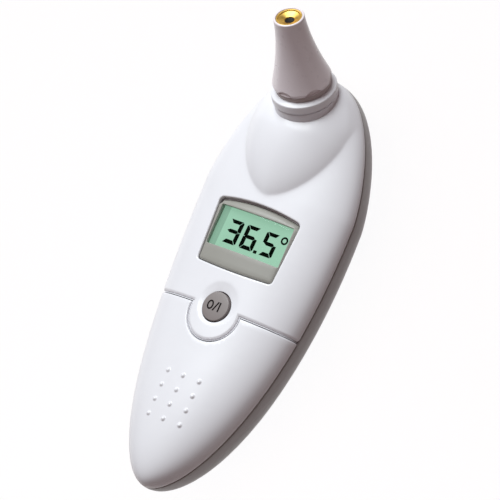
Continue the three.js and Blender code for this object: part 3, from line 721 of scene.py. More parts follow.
def moulded(name, colour, roughness, grain=0.006, spread=0.03, **sockets):
    """Moulded plastic: a fine spark-eroded grain, soft flow blotches and uneven gloss."""
    look = Look(name, **sockets)
    dark = tuple(c * (1 - spread) for c in colour)
    light = tuple(min(c * (1 + spread), 1) for c in colour)
    look.colour(look.noise(16, 3), dark, light)
    look.rough(look.noise(1.4, 3), roughness - 0.04, roughness + 0.05)
    look.relief(look.noise(7, 1), 0.03)
    look.relief(look.noise(0.22, 2), grain)
    return look.material


def metal(name, colour, roughness, stretch=(1, 1, 1), size=0.3):
    """Metal with fine drawn or turned marks along one direction."""
    look = Look(name, Metallic=1.0)
    marks = look.noise(size, 3, stretch)
    look.colour(marks, tuple(c * 0.86 for c in colour), colour)
    look.rough(marks, roughness - 0.06, roughness + 0.1)
    look.relief(marks, 0.008)
    return look.material


def white_plastic():
    return moulded("white_plastic", (0.86, 0.85, 0.89), 0.32, grain=0.002, spread=0.01, Coat_Weight=0.2,
                   Coat_Roughness=0.15)


def liquid_crystal(name, shade):
    """The green display glass, mostly painted light: it glows with a fixed green, so shadows on it stay
    light, and only a dim base colour takes the lamps.
    """
    painted_glow = tuple(shade * c for c in (0.28, 0.51, 0.37))
    look = Look(name, Roughness=0.4, Specular_IOR_Level=0.15, Emission_Strength=1.0,
                Emission_Color=(*painted_glow, 1))
    look.colour(look.noise(9, 2), tuple(0.1 * c for c in painted_glow), tuple(0.2 * c for c in painted_glow))
    look.relief(look.noise(0.12, 1), 0.004)
    return look.material


def clear_plastic():
    """A clear window with an anti-glare finish: light passes through, and a faint gloss shows."""
    look = Look("clear_plastic")
    tree = look.tree
    gloss = look.node("ShaderNodeBsdfGlossy")
    gloss.inputs["Color"].default_value = (1, 1, 1, 1)
    look.link(look.ranged(look.noise(3, 2), 0.03, 0.07), gloss.inputs["Roughness"])
    clear = look.node("ShaderNodeBsdfTransparent")
    fresnel = look.node("ShaderNodeFresnel")
    fresnel.inputs["IOR"].default_value = 1.12
    mix = look.node("ShaderNodeMixShader")
    look.link(fresnel.outputs[0], mix.inputs[0])
    look.link(clear.outputs[0], mix.inputs[1])
    look.link(gloss.outputs[0], mix.inputs[2])
    tree.nodes.remove(look.shader)
    output = next(n for n in tree.nodes if n.type == "OUTPUT_MATERIAL")
    look.link(mix.outputs[0], output.inputs["Surface"])
    return look.material


def circuit_laminate():
    """Green solder mask over a faint grid of tracks."""
    look = Look("circuit_laminate", Roughness=0.35)
    brick = look.node("ShaderNodeTexBrick")
    brick.inputs["Scale"].default_value = 1 / (3 * MM)
    brick.inputs["Mortar Size"].default_value = 0.05
    look.link(look.place, brick.inputs["Vector"])
    look.colour(brick.outputs["Fac"], (0.02, 0.11, 0.05), (0.05, 0.2, 0.09), 0.2, 0.8)
    look.relief(brick.outputs["Fac"], 0.03)
    return look.material


LOOKS = {
    "white_shell": white_plastic(),
    # The rear shell's grey is partly its own colour and partly painted shade: it is darker than its plastic
    # to stand for the shade on the casing's rear side.
    "grey_shell": moulded("rear_plastic", (0.40, 0.375, 0.375), 0.36, grain=0.004),
    "probe_plastic": moulded("probe_plastic", (0.84, 0.76, 0.79), 0.3, grain=0.002, spread=0.012,
                             Coat_Weight=0.3, Coat_Roughness=0.2),
    "bezel_plastic": moulded("bezel_plastic", (0.33, 0.32, 0.29), 0.42, grain=0.006),
    "button_plastic": moulded("button_plastic", (0.25, 0.215, 0.21), 0.4, grain=0.006),
    "dark_plastic": moulded("dark_plastic", (0.025, 0.025, 0.027), 0.5, grain=0.02),
    "seal_rubber": moulded("seal_rubber", (0.60, 0.54, 0.54), 0.62, grain=0.01),
    "clear_lens": clear_plastic(),
    # The display's green is mostly a painted glow, not light that falls on it.
    "lcd": liquid_crystal("liquid_crystal", 1.0),
    "board_laminate": circuit_laminate(),
    "flex_film": moulded("flex_film", (0.36, 0.13, 0.02), 0.3),
    "gold_plate": metal("gold_plate", (0.82, 0.54, 0.13), 0.4, size=1.5),
    "bright_steel": metal("bright_steel", (0.68, 0.68, 0.69), 0.24, stretch=(1, 9, 1)),
    "machined_metal": metal("machined_metal", (0.62, 0.63, 0.65), 0.34, stretch=(1, 1, 12)),
}
# A darker copy of the display glass, painted as the shadow that the bezel's left edge casts on it.
LCD_PAINTED_SHADOW = liquid_crystal("display_painted_shadow", 0.72)
PRINT = moulded("printed_ink", (0.012, 0.009, 0.009), 0.7, Specular_IOR_Level=0.1)
LCD_BLACK = moulded("segment_black", (0.001, 0.003, 0.0015), 0.6, Specular_IOR_Level=0.0)


def dress_cad_nodes():
    """Every CAD node gets its slot's material, and round facets are shaded as round."""
    for entry in frame["record"]["subparts"]:
        node = frame["nodes"][entry["node"]]
        node.data.materials.clear()
        node.data.materials.append(LOOKS[entry["material_slot"]])
        node.data.shade_smooth()
        node.data.set_sharp_from_angle(angle=SHARP_ANGLE)


dress_cad_nodes()

# ---------------------------------------------------------------- casing pieces

BUTTON = cad_centre("power_button")
BUTTON_TOP = cad_box("power_button")[1].z
BUTTON_RADIUS = 3.8
BUTTON_DOME = 0.12
BUTTON_HOLE = BUTTON_RADIUS + GAP
SCAN = cad_centre("scan_button")
SCAN_RADIUS = 5.0
SCAN_HOLE = SCAN_RADIUS + GAP
WELL_RADIUS = 2.3
WELLS = [cad_centre("housing_screw_1"), cad_centre("housing_screw_2")]
STATIONS = [math.pi * HALF_LENGTH * i / STATION_COUNT for i in range(STATION_COUNT + 1)]


def parting_path(offset):
    """The parting line, moved towards the head by offset, unrolled from left to right."""
    y = PARTING_Y + offset
    radius = TONGUE["radius"] - offset
    rise = math.asin((y - TONGUE["y"]) / radius)
    edge = FRONT.girth_at_height(y, GAP / 2)
    corner, station = FRONT.unrolled(radius * math.cos(rise), y)
    line = [(-edge + (edge - corner) * i / PARTING_STEPS, station) for i in range(PARTING_STEPS)]
    tongue = arc(0, TONGUE["y"], radius, math.pi - rise, 2 * math.pi + rise, TONGUE_STEPS)
    return line + FRONT.unrolled_line(tongue) + mirrored(reversed(line))


def front_depth(x, y):
    """Distance from the parting line into the front shell."""
    return max(y - PARTING_Y, TONGUE["radius"] - math.hypot(x, y - TONGUE["y"]))


def cover_depth(x, y):
    """Distance from the parting line into the battery cover."""
    return min(PARTING_Y - PARTING_GAP - y, math.hypot(x, y - TONGUE["y"]) - TONGUE["radius"] - PARTING_GAP)


def seam_rows(side, stations, start_y, pole):
    """Rows of points that round the edge along the seam, from the parting line to the pole."""
    rows = []
    for offset in edge_offsets(EDGE["seam"]):
        height = GAP / 2 + offset
        row = [(side.girth_at_height(start_y, height), station_of(start_y))]
        row += [(side.girth_at_height(y_of(s), height), s) for s in stations]
        rows.append(row + [(0.0, pole)])
    return rows


def mirrored(row):
    return [(-girth, station) for girth, station in row]


def skin_edges(parting, rows):
    """The boundary loop of a front skin, and its further rows as lines."""
    boundary = parting[0][:-1] + rows[0] + mirrored(reversed(rows[0][1:-1]))
    return [boundary], parting[1:] + rows[1:] + [mirrored(row) for row in rows[1:]]


def seeds_over(side, stations, wanted):
    """Points of an even grid over the unrolled side, where wanted(x, y) is true."""
    seeds = []
    for station in stations:
        edge = side.girth_at_height(y_of(station), GAP / 2 + EDGE["seam"])
        columns = max(1, round(2 * edge / PITCH))
        for i in range(1, columns):
            point = (-edge + 2 * edge * i / columns, station)
            if wanted(*side.plan(point)):
                seeds.append(point)
    return seeds


def nose_crease_lines():
    """Lines along the crease around the nose, so that its soft fold gets even rows of points."""
    lines = []
    steps, seam_share = 32, 0.985
    power = 2 / NOSE["roundness"]
    for level in CREASE_ROWS:
        size = (1 - level) ** (1 / NOSE["roundness"])
        half = []
        for i in range(steps + 1):
            turn = math.pi / 2 * i / steps
            half.append((NOSE["half_width"] * size * math.sin(turn) ** power,
                         NOSE["centre_y"] - NOSE["reach"] * size * max(math.cos(turn), 0) ** power))
        end = HEAD_END - NOSE["centre_y"]
        half.append((half[-1][0] + NOSE["spread"] * end * size, HEAD_END))
        half = resampled(half, CREASE_STEP, closed=False)
        half = FRONT.unrolled_line([(x, y) for x, y in half if x < seam_share * outline_at(y)])
        lines.append(mirrored(reversed(half[1:])) + half)
    return lines


def face_drop(x, y):
    """Depth of the finger dish around the power button."""
    inside = 1 - (math.hypot(x, y - DISH["y"]) / DISH["radius"]) ** 2
    if inside < -1:
        return 0.0
    return DISH["depth"] * (inside + math.hypot(inside, DISH["crease"])) / 2


def shell_points(side, flat, drop_at, straight_walls):
    """Both skins of a shell over unrolled points.

    drop_at(x, y) is how far the outer skin lies under the surface, and where
    straight_walls(x, y) is true the inner skin is right under the outer one.
    """
    outer, inner = [], []
    for point in flat:
        x, y = side.plan(point)
        drop = drop_at(x, y) + edge_drop(side.height(point) - GAP / 2, EDGE["seam"])
        place = side.surface(point)
        if abs(drop) > 1e-6:
            place = place - side.normal(point) * drop
        outer.append(place)
        if straight_walls(x, y):
            inner.append(place - Vector((0, 0, side.sign * WALL)))
        else:
            inner.append(side.surface(point, WALL))
    return outer + inner


def make_front_shell():
    pole = math.pi * HALF_LENGTH
    above = [s for s in STATIONS[:-1] if y_of(s) > PARTING_Y + BEYOND_PARTING]
    rows = seam_rows(FRONT, above, PARTING_Y, pole)
    bevel = PARTING_BEVEL["width"]
    parting = [parting_path(share * bevel) for share in BEVEL_ROWS]
    loops, lines = skin_edges(parting, rows)
    for offset in edge_offsets(EDGE["window"]) + GUARD_ROWS:
        loops.append(FRONT.unrolled_line(grown(WINDOW_OUTLINE, offset)))
    for offset in edge_offsets(EDGE["button"]):
        loops.append(FRONT.unrolled_line(circle(0, BUTTON.y, BUTTON_HOLE + offset)))
    for share in DISH_ROWS:
        around = arc(0, DISH["y"], share * DISH["radius"], 0, 2 * math.pi, 64)
        lines.append(FRONT.unrolled_line([p for p in around if front_depth(*p) > BEVEL_ROWS[-1] * bevel]))
    lines += nose_crease_lines()

    def hole_distance(x, y):
        return math.hypot(x, y - BUTTON.y) - BUTTON_HOLE

    def window_distance(x, y):
        margin = 2
        beside = abs(x) < WINDOW["top_half"] + margin
        along = WINDOW["bottom_y"] - margin < y < WINDOW["top_y"] + 2 * margin
        return distance_outside(WINDOW_OUTLINE, x, y) if beside and along else FAR

    def wanted(x, y):
        past_rows = front_depth(x, y) > BEVEL_REACH * bevel and hole_distance(x, y) > BEYOND_EDGE
        return past_rows and window_distance(x, y) > BEYOND_GUARDS

    def solid(x, y):
        return hole_distance(x, y) > 0 and window_distance(x, y) > 0

    flat, triangles = triangles_between(loops, lines, seeds_over(FRONT, above, wanted))
    kept = faces_where([FRONT.plan(p) for p in flat], triangles, solid)

    def drop_at(x, y):
        drop = face_drop(x, y) + PARTING_BEVEL["depth"] * max(0, 1 - front_depth(x, y) / bevel)
        drop += edge_drop(hole_distance(x, y), EDGE["button"])
        return drop + edge_drop(window_distance(x, y), EDGE["window"])

    def straight_walls(x, y):
        return hole_distance(x, y) < STRAIGHT_WALL or window_distance(x, y) < STRAIGHT_WALL

    points = shell_points(FRONT, flat, drop_at, straight_walls)
    mesh_piece("front_shell_skin", points, wall_between(kept, len(flat)), "white_shell",
               replaces=["front_shell"])


def grip_centres():
    centres = []
    for row in range(GRIP["rows"]):
        for column in range(GRIP["columns"]):
            x = (column - (GRIP["columns"] - 1) / 2) * GRIP["column_pitch"]
            centres.append((x, GRIP["first_y"] - row * GRIP["row_pitch"]))
    return centres


def make_battery_cover():
    below = [s for s in reversed(STATIONS[1:]) if y_of(s) < PARTING_Y - PARTING_GAP - BEYOND_PARTING]
    rows = seam_rows(FRONT, below, PARTING_Y - PARTING_GAP, 0.0)
    parting = [parting_path(-PARTING_GAP - offset) for offset in edge_offsets(EDGE["parting"])]
    loops, lines = skin_edges(parting, rows)
    centres = grip_centres()
    for x, y in centres:
        for share in BUMP_ROWS:
            loops.append(FRONT.unrolled_line(circle(x, y, share * GRIP["radius"], BUMP_STEPS)))

    def bump_distance(x, y):
        return min(math.hypot(x - a, y - b) for a, b in centres) / GRIP["radius"]

    def wanted(x, y):
        return cover_depth(x, y) > BEYOND_EDGE and bump_distance(x, y) > BUMP_REACH

    seeds = seeds_over(FRONT, below, wanted) + FRONT.unrolled_line(centres)
    flat, triangles = triangles_between(loops, lines, seeds)

    def drop_at(x, y):
        bump = max(1 - bump_distance(x, y) ** 2, 0) ** GRIP["power"]
        return edge_drop(cover_depth(x, y), EDGE["parting"]) - GRIP["height"] * bump

    points = shell_points(FRONT, flat, drop_at, lambda x, y: False)
    mesh_piece("battery_cover_skin", points, wall_between(triangles, len(flat)), "white_shell",
               body="battery_cover", replaces=["battery_cover"])


def make_rear_shell():
    rows = []
    for offset in edge_offsets(EDGE["seam"]):
        height = GAP / 2 + offset
        row = [(0.0, 0.0)]
        row += [(REAR.girth_at_height(y_of(s), height), s) for s in STATIONS[1:-1]]
        rows.append(row + [(0.0, STATIONS[-1])])
    boundary = rows[0] + mirrored(reversed(rows[0][1:-1]))
    loops, lines = [boundary], rows[1:] + [mirrored(row) for row in rows[1:]]
    holes = [(0, SCAN.y, SCAN_HOLE)] + [(well.x, well.y, WELL_RADIUS) for well in WELLS]
    for x, y, radius in holes:
        for offset in edge_offsets(EDGE["button"]) + GUARD_ROWS:
            loops.append(REAR.unrolled_line(circle(x, y, radius + offset)))

    def hole_distance(x, y):
        return min(math.hypot(x - a, y - b) - r for a, b, r in holes)

    def wanted(x, y):
        return hole_distance(x, y) > BEYOND_GUARDS

    flat, triangles = triangles_between(loops, lines, seeds_over(REAR, STATIONS[1:-1], wanted))
    kept = faces_where([REAR.plan(p) for p in flat], triangles, lambda x, y: hole_distance(x, y) > 0)

    def drop_at(x, y):
        return edge_drop(hole_distance(x, y), EDGE["button"])

    points = shell_points(REAR, flat, drop_at, lambda x, y: hole_distance(x, y) < STRAIGHT_WALL)
    mesh_piece("rear_shell_skin", points, wall_between(kept, len(flat)), "grey_shell",
               replaces=["rear_shell"])


def make_parting_ledge():
    """The front shell's step that shows as a grey line between the cover and the face."""
    edges = [parting_path(-PARTING_LEDGE["gap"] - share * PARTING_LEDGE["width"]) for share in (0, 0.5, 1)]
    count = len(edges[0])
    points = []
    for inset in (PARTING_LEDGE["top"], PARTING_LEDGE["bottom"]):
        for edge in edges:
            points += [FRONT.surface(p, inset) for p in edge]
    faces = []
    for layer in (0, 3 * count):
        for row in range(2):
            a, b = layer + row * count, layer + (row + 1) * count
            faces += [(a + i, b + i, b + i + 1, a + i + 1) for i in range(count - 1)]
    for row in (0, 2):
        a, b = row * count, (row + 3) * count
        faces += [(a + i, b + i, b + i + 1, a + i + 1) for i in range(count - 1)]
    for i in (0, count - 1):
        faces += [(i, count + i, 4 * count + i, 3 * count + i),
                  (count + i, 2 * count + i, 5 * count + i, 4 * count + i)]
    mesh_piece("parting_ledge", points, faces, "white_shell")


make_front_shell()
make_battery_cover()
make_rear_shell()
make_parting_ledge()

# ---------------------------------------------------------------- probe pieces

PROBE_AXIS = Vector((0, math.sin(PROBE["lean"]), math.cos(PROBE["lean"])))
PROBE_TIP = Vector((0, PROBE["collar_top_y"], PROBE["collar_top_z"])) + PROBE_AXIS * PROBE["collar_depth"]
PROBE_PLACE = Matrix.Translation(PROBE_TIP) @ Matrix.Rotation(-PROBE["lean"], 4, "X")


def on_probe(name, corners, slot, **options):
    """A turned piece on the probe axis. A corner is (radius, depth under the tip, fillet)."""
    profile = filleted([(radius, -depth, fillet) for radius, depth, fillet in corners])
    return turned(name, profile, PROBE_PLACE, slot, **options)


def cone_radius(depth):
    flare = min(depth / PROBE["flare_length"], 1) ** PROBE["flare_power"]
    return PROBE["tip_radius"] + (PROBE["skirt_radius"] - PROBE["tip_radius"]) * flare


def make_cone():
    length, wall, skirt = PROBE["cone_length"], PROBE["cone_wall"], PROBE["skirt_radius"]
    lip, hem_round = CONE["lip"], CONE["hem"]
    seat = PROBE["funnel_radius"] + CONE["seat_clearance"]
    bore = PROBE["guide_radius"] + CONE["bore_clearance"]
    angles = [math.pi / 2 * i / CONE["round_steps"] for i in range(CONE["round_steps"] + 1)]
    depths = [lip + CONE["row"] * i for i in range(1, CONE["rows"] + 1)]
    depths += [CONE["fine_start"] + CONE["fine_row"] * i for i in range(CONE["fine_rows"])]
    outside = [(PROBE["tip_radius"] - lip * (1 - math.sin(a)), -lip * (1 - math.cos(a))) for a in angles]
    outside += [(cone_radius(d), -d) for d in depths]
    hem = [(skirt - hem_round * (1 - math.cos(a)), -length + hem_round * (1 - math.sin(a))) for a in angles]
    inside = [(skirt - wall, -length), (skirt - wall, -PROBE["flare_length"])]
    inside += [(cone_radius(d) - wall, -d) for d in CONE["inner_depths"]]
    inside += [(bore, -d) for d in CONE["bore_depths"]]
    inside += [(seat, -CONE["seat_end"]), (seat, -CONE["seat_bevel"]), (seat + CONE["seat_clearance"], 0)]

    def notched(radius, height, angle):
        """Presses a shallow thumb notch into the outer skin just above the hem."""
        if radius < skirt - THUMB_NOTCH["skin"] or height > -length + 2 * THUMB_NOTCH["height"]:
            return radius, height
        turn = 2 * math.pi / THUMB_NOTCH["count"]
        offset = angle % turn - turn / 2
        across = offset * skirt / THUMB_NOTCH["half_width"]
        up = (height + length) / THUMB_NOTCH["height"]
        inside_notch = 1 - across ** 2 - up ** 2
        above_hem = min(max((height + length - THUMB_NOTCH["hem"]) / THUMB_NOTCH["ramp"], 0), 1)
        share = min(1, THUMB_NOTCH["steepness"] * max(inside_notch, 0)) ** 0.5
        return radius - THUMB_NOTCH["depth"] * above_hem * share, height

    turned("probe_cone_skin", outside + hem + inside, PROBE_PLACE, "probe_plastic",
           segments=CONE["segments"], shape=notched, replaces=["probe_cone"])


def make_collar():
    top, height = PROBE["collar_depth"], PROBE["collar_height"]
    outer, inner = PROBE["collar_radius"], PROBE["bore_radius"]
    crown, seal = PROBE["collar_crown"], PROBE["seal_radius"]
    on_probe("probe_collar_ring", [
        (inner, top - crown, 0), (seal + 0.2, top - crown, 0.3), (outer, top, 0.35),
        (outer, top + height, 0.12), (inner, top + height, 0),
    ], "white_shell", replaces=["probe_collar"])
    neck, end = PROBE["neck_radius"], PROBE["neck_end"]
    neck_top = top + height + NECK["gap"]
    spigot, spigot_top = neck - NECK["rim"], neck_top - NECK["spigot_rise"]
    on_probe("probe_neck", [
        (inner, spigot_top, 0), (spigot, spigot_top, 0), (spigot, neck_top, 0),
        (neck, neck_top, 0.12), (neck, end, 0), (inner, end, 0),
    ], "white_shell")
    seal_top, foot = PROBE["seal_depth"], top - crown - 0.05
    on_probe("probe_seal_ring", [
        (inner, seal_top, 0), (seal, seal_top, 0.25), (seal, foot, 0.05), (inner, foot, 0),
    ], "seal_rubber", replaces=["probe_seal"])


def make_waveguide():
    bore, mouth, guide = PROBE["guide_bore"], PROBE["funnel_radius"], PROBE["guide_radius"]
    throat, end = PROBE["throat_depth"], PROBE["guide_end"]
    rim = mouth - FUNNEL["rim"]
    on_probe("waveguide_mirror", [
        (bore, end, 0), (bore, throat, 0.12), (rim, FUNNEL["rim_depth"], 0.2),
        (rim + FUNNEL["land"], FUNNEL["land_depth"], 0.05), (mouth, FUNNEL["top"], 0.06),
        (mouth, FUNNEL["flange_end"], 0), (guide, FUNNEL["taper_end"], 0), (guide, end, 0),
    ], "gold_plate", replaces=["waveguide"])
    # A dark sleeve inside the gold bore: painted shade for the dark depth of the hole.
    inner, outer = bore - FUNNEL["lining"], bore - FUNNEL["lining_gap"]
    start = throat + FUNNEL["lining_start"]
    on_probe("waveguide_shade_sleeve", [(inner, start, 0), (outer, start, 0), (outer, end, 0), (inner, end, 0)],
             "dark_plastic")


make_cone()
make_collar()
make_waveguide()

# ---------------------------------------------------------------- display

def no_gutter(inward, y):
    return 0.0


def bezel_gutter(inward, y):
    """Extra depth of the bezel's top strip, which dips towards the arch of the window."""
    share = max(1 - inward / BEZEL["gutter_width"], 0)
    return BEZEL["gutter"] * share * min(max((y - VIEW["high"]) / BEZEL["gutter_fade"], 0), 1)


def on_face(name, outline, holes, rounds, size, slot, gutter=no_gutter, **options):
    """A plate that follows the front face, sunk by its size's depth, with rounded upper edges."""
    outer_round, hole_round = rounds
    loops = [grown(outline, -offset) for offset in edge_offsets(outer_round)]
    for hole in holes:
        loops += [grown(hole, offset) for offset in edge_offsets(hole_round)]
    xs, ys = [p[0] for p in outline], [p[1] for p in outline]

    def edge_distances(x, y):
        inward = -distance_outside(outline, x, y)
        from_holes = min([distance_outside(hole, x, y) for hole in holes], default=FAR)
        return inward, from_holes

    seeds = []
    columns, rows = round((max(xs) - min(xs)) / PITCH), round((max(ys) - min(ys)) / PITCH)
    for i in range(1, columns):
        for j in range(1, rows):
            point = (min(xs) + i * PITCH, min(ys) + j * PITCH)
            if min(edge_distances(*point)) > BEYOND_EDGE:
                seeds.append(point)
    flat, triangles = triangles_between(loops, seeds=seeds)
    kept = faces_where(flat, triangles, lambda x, y: edge_distances(x, y)[1] > 0)
    upper, lower = [], []
    for x, y in flat:
        inward, from_holes = edge_distances(x, y)
        drop = edge_drop(inward, outer_round) + edge_drop(from_holes, hole_round)
        z = face_height(x, y) - size["depth"] - gutter(inward, y)
        upper.append((x, y, z - drop))
        lower.append((x, y, z - size["thickness"]))
    return mesh_piece(name, upper + lower, wall_between(kept, len(flat)), slot, **options)


def make_bezel():
    opening = rounded_rectangle(VIEW["left"], VIEW["low"], VIEW["right"], VIEW["high"], VIEW["corner"])
    on_face("display_bezel_frame", grown(WINDOW_OUTLINE, -GAP / 2), [opening], (EDGE["bezel"], EDGE["view"]),
            BEZEL, "bezel_plastic", gutter=bezel_gutter, replaces=["display_bezel"])
    lens = grown(opening, -LENS["clearance"])
    on_face("display_lens_pane", lens, [], (LENS["round"], LENS["round"]), LENS, "clear_lens",
            replaces=["display_lens"])


# Digits on the display glass: the heights, bar widths and slots of their seven segments, and the
# left end, right end and lit segments of each.
SEGMENT = {"low": 16.97, "high": 23.3, "upright": 1.14, "level": 0.95, "waist": 0.14, "slot": 0.09}
SEGMENT.update({"corner": 0.4, "slant": math.tan(math.radians(1.2))})
LCD_TOP = cad_box("lcd_glass")[1].z
INK_LOW, INK_HIGH = 0.01, 0.05
PRINT_SINK = 0.02
LCD_SHADOW_END = -9.63
POINT = {"x": 1.75, "width": 1.03, "height": 0.8, "drop": 0.12}
DEGREE = {"x": 9.02, "y": 22.37, "radius": 1.05, "hole": 0.56, "steps": 40}
DIGITS = {
    "tens": (-8.5, -4.03, "abcdg"),
    "units": (-2.97, 1.36, "acdefg"),
    "tenths": (3.14, 7.38, "acdfg"),
}


def segment_shapes(left, right):
    """Outlines of the seven segments a to g of a digit between two x values."""
    low, high, slot, corner = SEGMENT["low"], SEGMENT["high"], SEGMENT["slot"], SEGMENT["corner"]
    upright, level = SEGMENT["upright"], SEGMENT["level"]
    middle = (low + high) / 2 + SEGMENT["waist"]
    half = level / 2
    inner_left, inner_right = left + upright, right - upright
    upper_right = [(right, high - corner), (right, middle + slot), (right - upright / 2, middle + slot / 2),
                   (inner_right, middle + half), (inner_right, high - level - slot),
                   (right - corner + slot, high - slot)]
    upper_left = [(left + right - x, y) for x, y in upper_right]
    top = [(left + corner, high), (right - corner, high), (inner_right - slot, high - level),
           (inner_left + slot, high - level)]
    bar = [(left + corner, middle), (inner_left + slot, middle + half), (inner_right - slot, middle + half),
           (right - upright / 2 - slot, middle), (inner_right - slot, middle - half),
           (inner_left + slot, middle - half)]

    def below(shape):
        return [(x, low + (high - y) * (middle - low) / (high - middle)) for x, y in shape]

    return {
        "a": top, "b": upper_right, "c": below(upper_right), "d": below(top),
        "e": below(upper_left), "f": upper_left, "g": bar,
    }


def slanted(points):
    return [(x + SEGMENT["slant"] * (y - SEGMENT["low"]), y) for x, y in points]


def lcd_height(x, y):
    return LCD_TOP


def on_lcd(name, loops):
    plate(name, loops, lcd_height, INK_LOW, INK_HIGH, "lcd", look=LCD_BLACK)


def make_lcd_painted_shadow():
    """A darker strip along the left end of the display glass, painted as the shadow of the bezel's left edge.
    """
    low, high = cad_box("lcd_glass")
    border = [(low.x, low.y), (LCD_SHADOW_END, low.y), (LCD_SHADOW_END, high.y), (low.x, high.y)]
    plate("lcd_painted_shadow", [border], lcd_height, -PRINT_SINK, INK_LOW, "lcd", look=LCD_PAINTED_SHADOW)


def make_digits():
    for place, (left, right, lit) in DIGITS.items():
        shapes = segment_shapes(left, right)
        for segment in lit:
            on_lcd(f"digit_{place}_{segment}", [slanted(shapes[segment])])
    x, width, height, low = POINT["x"], POINT["width"], POINT["height"], SEGMENT["low"] - POINT["drop"]
    on_lcd("decimal_point", [[(x, low), (x + width, low), (x + width, low + height), (x, low + height)]])
    x, y = DEGREE["x"], DEGREE["y"]
    on_lcd("degree_ring", [circle(x, y, DEGREE[edge], DEGREE["steps"]) for edge in ("radius", "hole")])


make_bezel()
make_lcd_painted_shadow()
make_digits()

# ---------------------------------------------------------------- buttons

def dome_height(x, y):
    """z of the power button's slightly domed top."""
    share = math.hypot(x, y - BUTTON.y) / BUTTON_RADIUS
    return BUTTON_TOP - BUTTON_DOME * share ** 2


def make_power_button():
    stem, flange, flange_height, rise = 1.2, 4.8, 0.6, 2.4
    low = cad_box("power_button")[0].z
    shoulder, brim = BUTTON_TOP - rise, BUTTON_TOP - BUTTON_DOME
    corners = [(0, low, 0), (stem, low, 0.1), (stem, shoulder - flange_height, 0),
               (flange, shoulder - flange_height, 0.1), (flange, shoulder, 0.1),
               (BUTTON_RADIUS, shoulder, 0), (BUTTON_RADIUS, brim, 0.2), (0, brim, 0)]
    profile = filleted(corners)[:-1]
    profile += [(radius, dome_height(radius, BUTTON.y)) for radius in (3.2, 2.4, 1.6, 0.8, 0)]
    turned("power_button_cap", profile, upright(0, BUTTON.y), "button_plastic", body="power_button",
           replaces=["power_button"])


LEGEND = {"height": 2.5, "stroke": 0.43, "ring_half_width": 0.95, "ring_x": -1.5, "ring_steps": 48}
LEGEND.update({"slash_x": 0.2, "slash_lean": 0.5, "bar_x": 1.25, "step": 0.3})


def make_power_legend():
    """The usual on-off sign: a ring, a slash and a bar."""
    half, stroke, y = LEGEND["height"] / 2, LEGEND["stroke"], BUTTON.y

    def ellipse(width, height):
        angles = [2 * math.pi * i / LEGEND["ring_steps"] for i in range(LEGEND["ring_steps"])]
        return [(LEGEND["ring_x"] + width * math.cos(a), y + height * math.sin(a)) for a in angles]

    def bar(x, lean):
        corners = [(x - lean - stroke / 2, y - half), (x - lean + stroke / 2, y - half),
                   (x + lean + stroke / 2, y + half), (x + lean - stroke / 2, y + half)]
        return resampled(corners, LEGEND["step"])

    marks = {
        "legend_ring": [ellipse(LEGEND["ring_half_width"], half),
                        ellipse(LEGEND["ring_half_width"] - stroke, half - stroke)],
        "legend_slash": [bar(LEGEND["slash_x"], LEGEND["slash_lean"])],
        "legend_bar": [bar(LEGEND["bar_x"], 0)],
    }
    for name, loops in marks.items():
        plate(name, loops, dome_height, -PRINT_SINK, PRINT_SINK, "dark_plastic", look=PRINT,
              body="power_button")


def make_scan_button():
    """A patch of the rear surface that stands proud, with a shallow fingertip hollow."""
    proud, edge, depth, segments = 0.7, 0.6, 2.4, 96
    hollow_depth, hollow_radius, hollow_power = 0.35, 3.9, 1.5
    radii = [SCAN_RADIUS - offset for offset in edge_offsets(edge)] + [4.0, 3.4, 2.7, 2.0, 1.3, 0.6]
    upper = []
    for radius in radii:
        for x, y in circle(0, SCAN.y, radius, segments):
            point = REAR.unrolled(x, y)
            hollow = hollow_depth * max(1 - (radius / hollow_radius) ** 2, 0) ** hollow_power
            drop = edge_drop(SCAN_RADIUS - radius, edge) + hollow
            upper.append(REAR.surface(point) + REAR.normal(point) * (proud - drop))
    middle = REAR.unrolled(0, SCAN.y)
    centre = REAR.surface(middle) + REAR.normal(middle) * (proud - hollow_depth)
    lower = [Vector((p.x, p.y, p.z + depth)) for p in upper[:segments]]
    points = upper + [centre] + lower + [centre + Vector((0, 0, depth))]
    faces = []
    top, bottom = len(upper), len(upper) + 1
    for j in range(segments):
        k = (j + 1) % segments
        for i in range(len(radii) - 1):
            faces.append((i * segments + j, i * segments + k, (i + 1) * segments + k, (i + 1) * segments + j))
        last = (len(radii) - 1) * segments
        faces.append((last + j, last + k, top))
        faces.append((k, j, bottom + j, bottom + k))
        faces.append((bottom + k, bottom + j, len(points) - 1))
    mesh_piece("scan_button_cap", points, faces, "button_plastic", body="scan_button",
               replaces=["scan_button"])


make_power_button()
make_power_legend()
make_scan_button()

# ---------------------------------------------------------------- screws and their wells

# Pan head screws: shares of a radius have "share" in their names, and the recess is a share of the
# head's radius long, with its width and depth.
SCREW = {"point_share": 0.4, "point": 1, "head": 1, "rim": 0.45, "dome": 0.28, "segments": 48}
SCREW.update({"recess_share": 1.25, "recess_width": 0.42, "recess_depth": 1.1, "sharp": math.radians(35)})
WELL = {"bore": 1.2, "mouth_z": 5.0, "floor_z": 8.0, "top_z": 9.6, "outer": 3.2, "segments": 64}


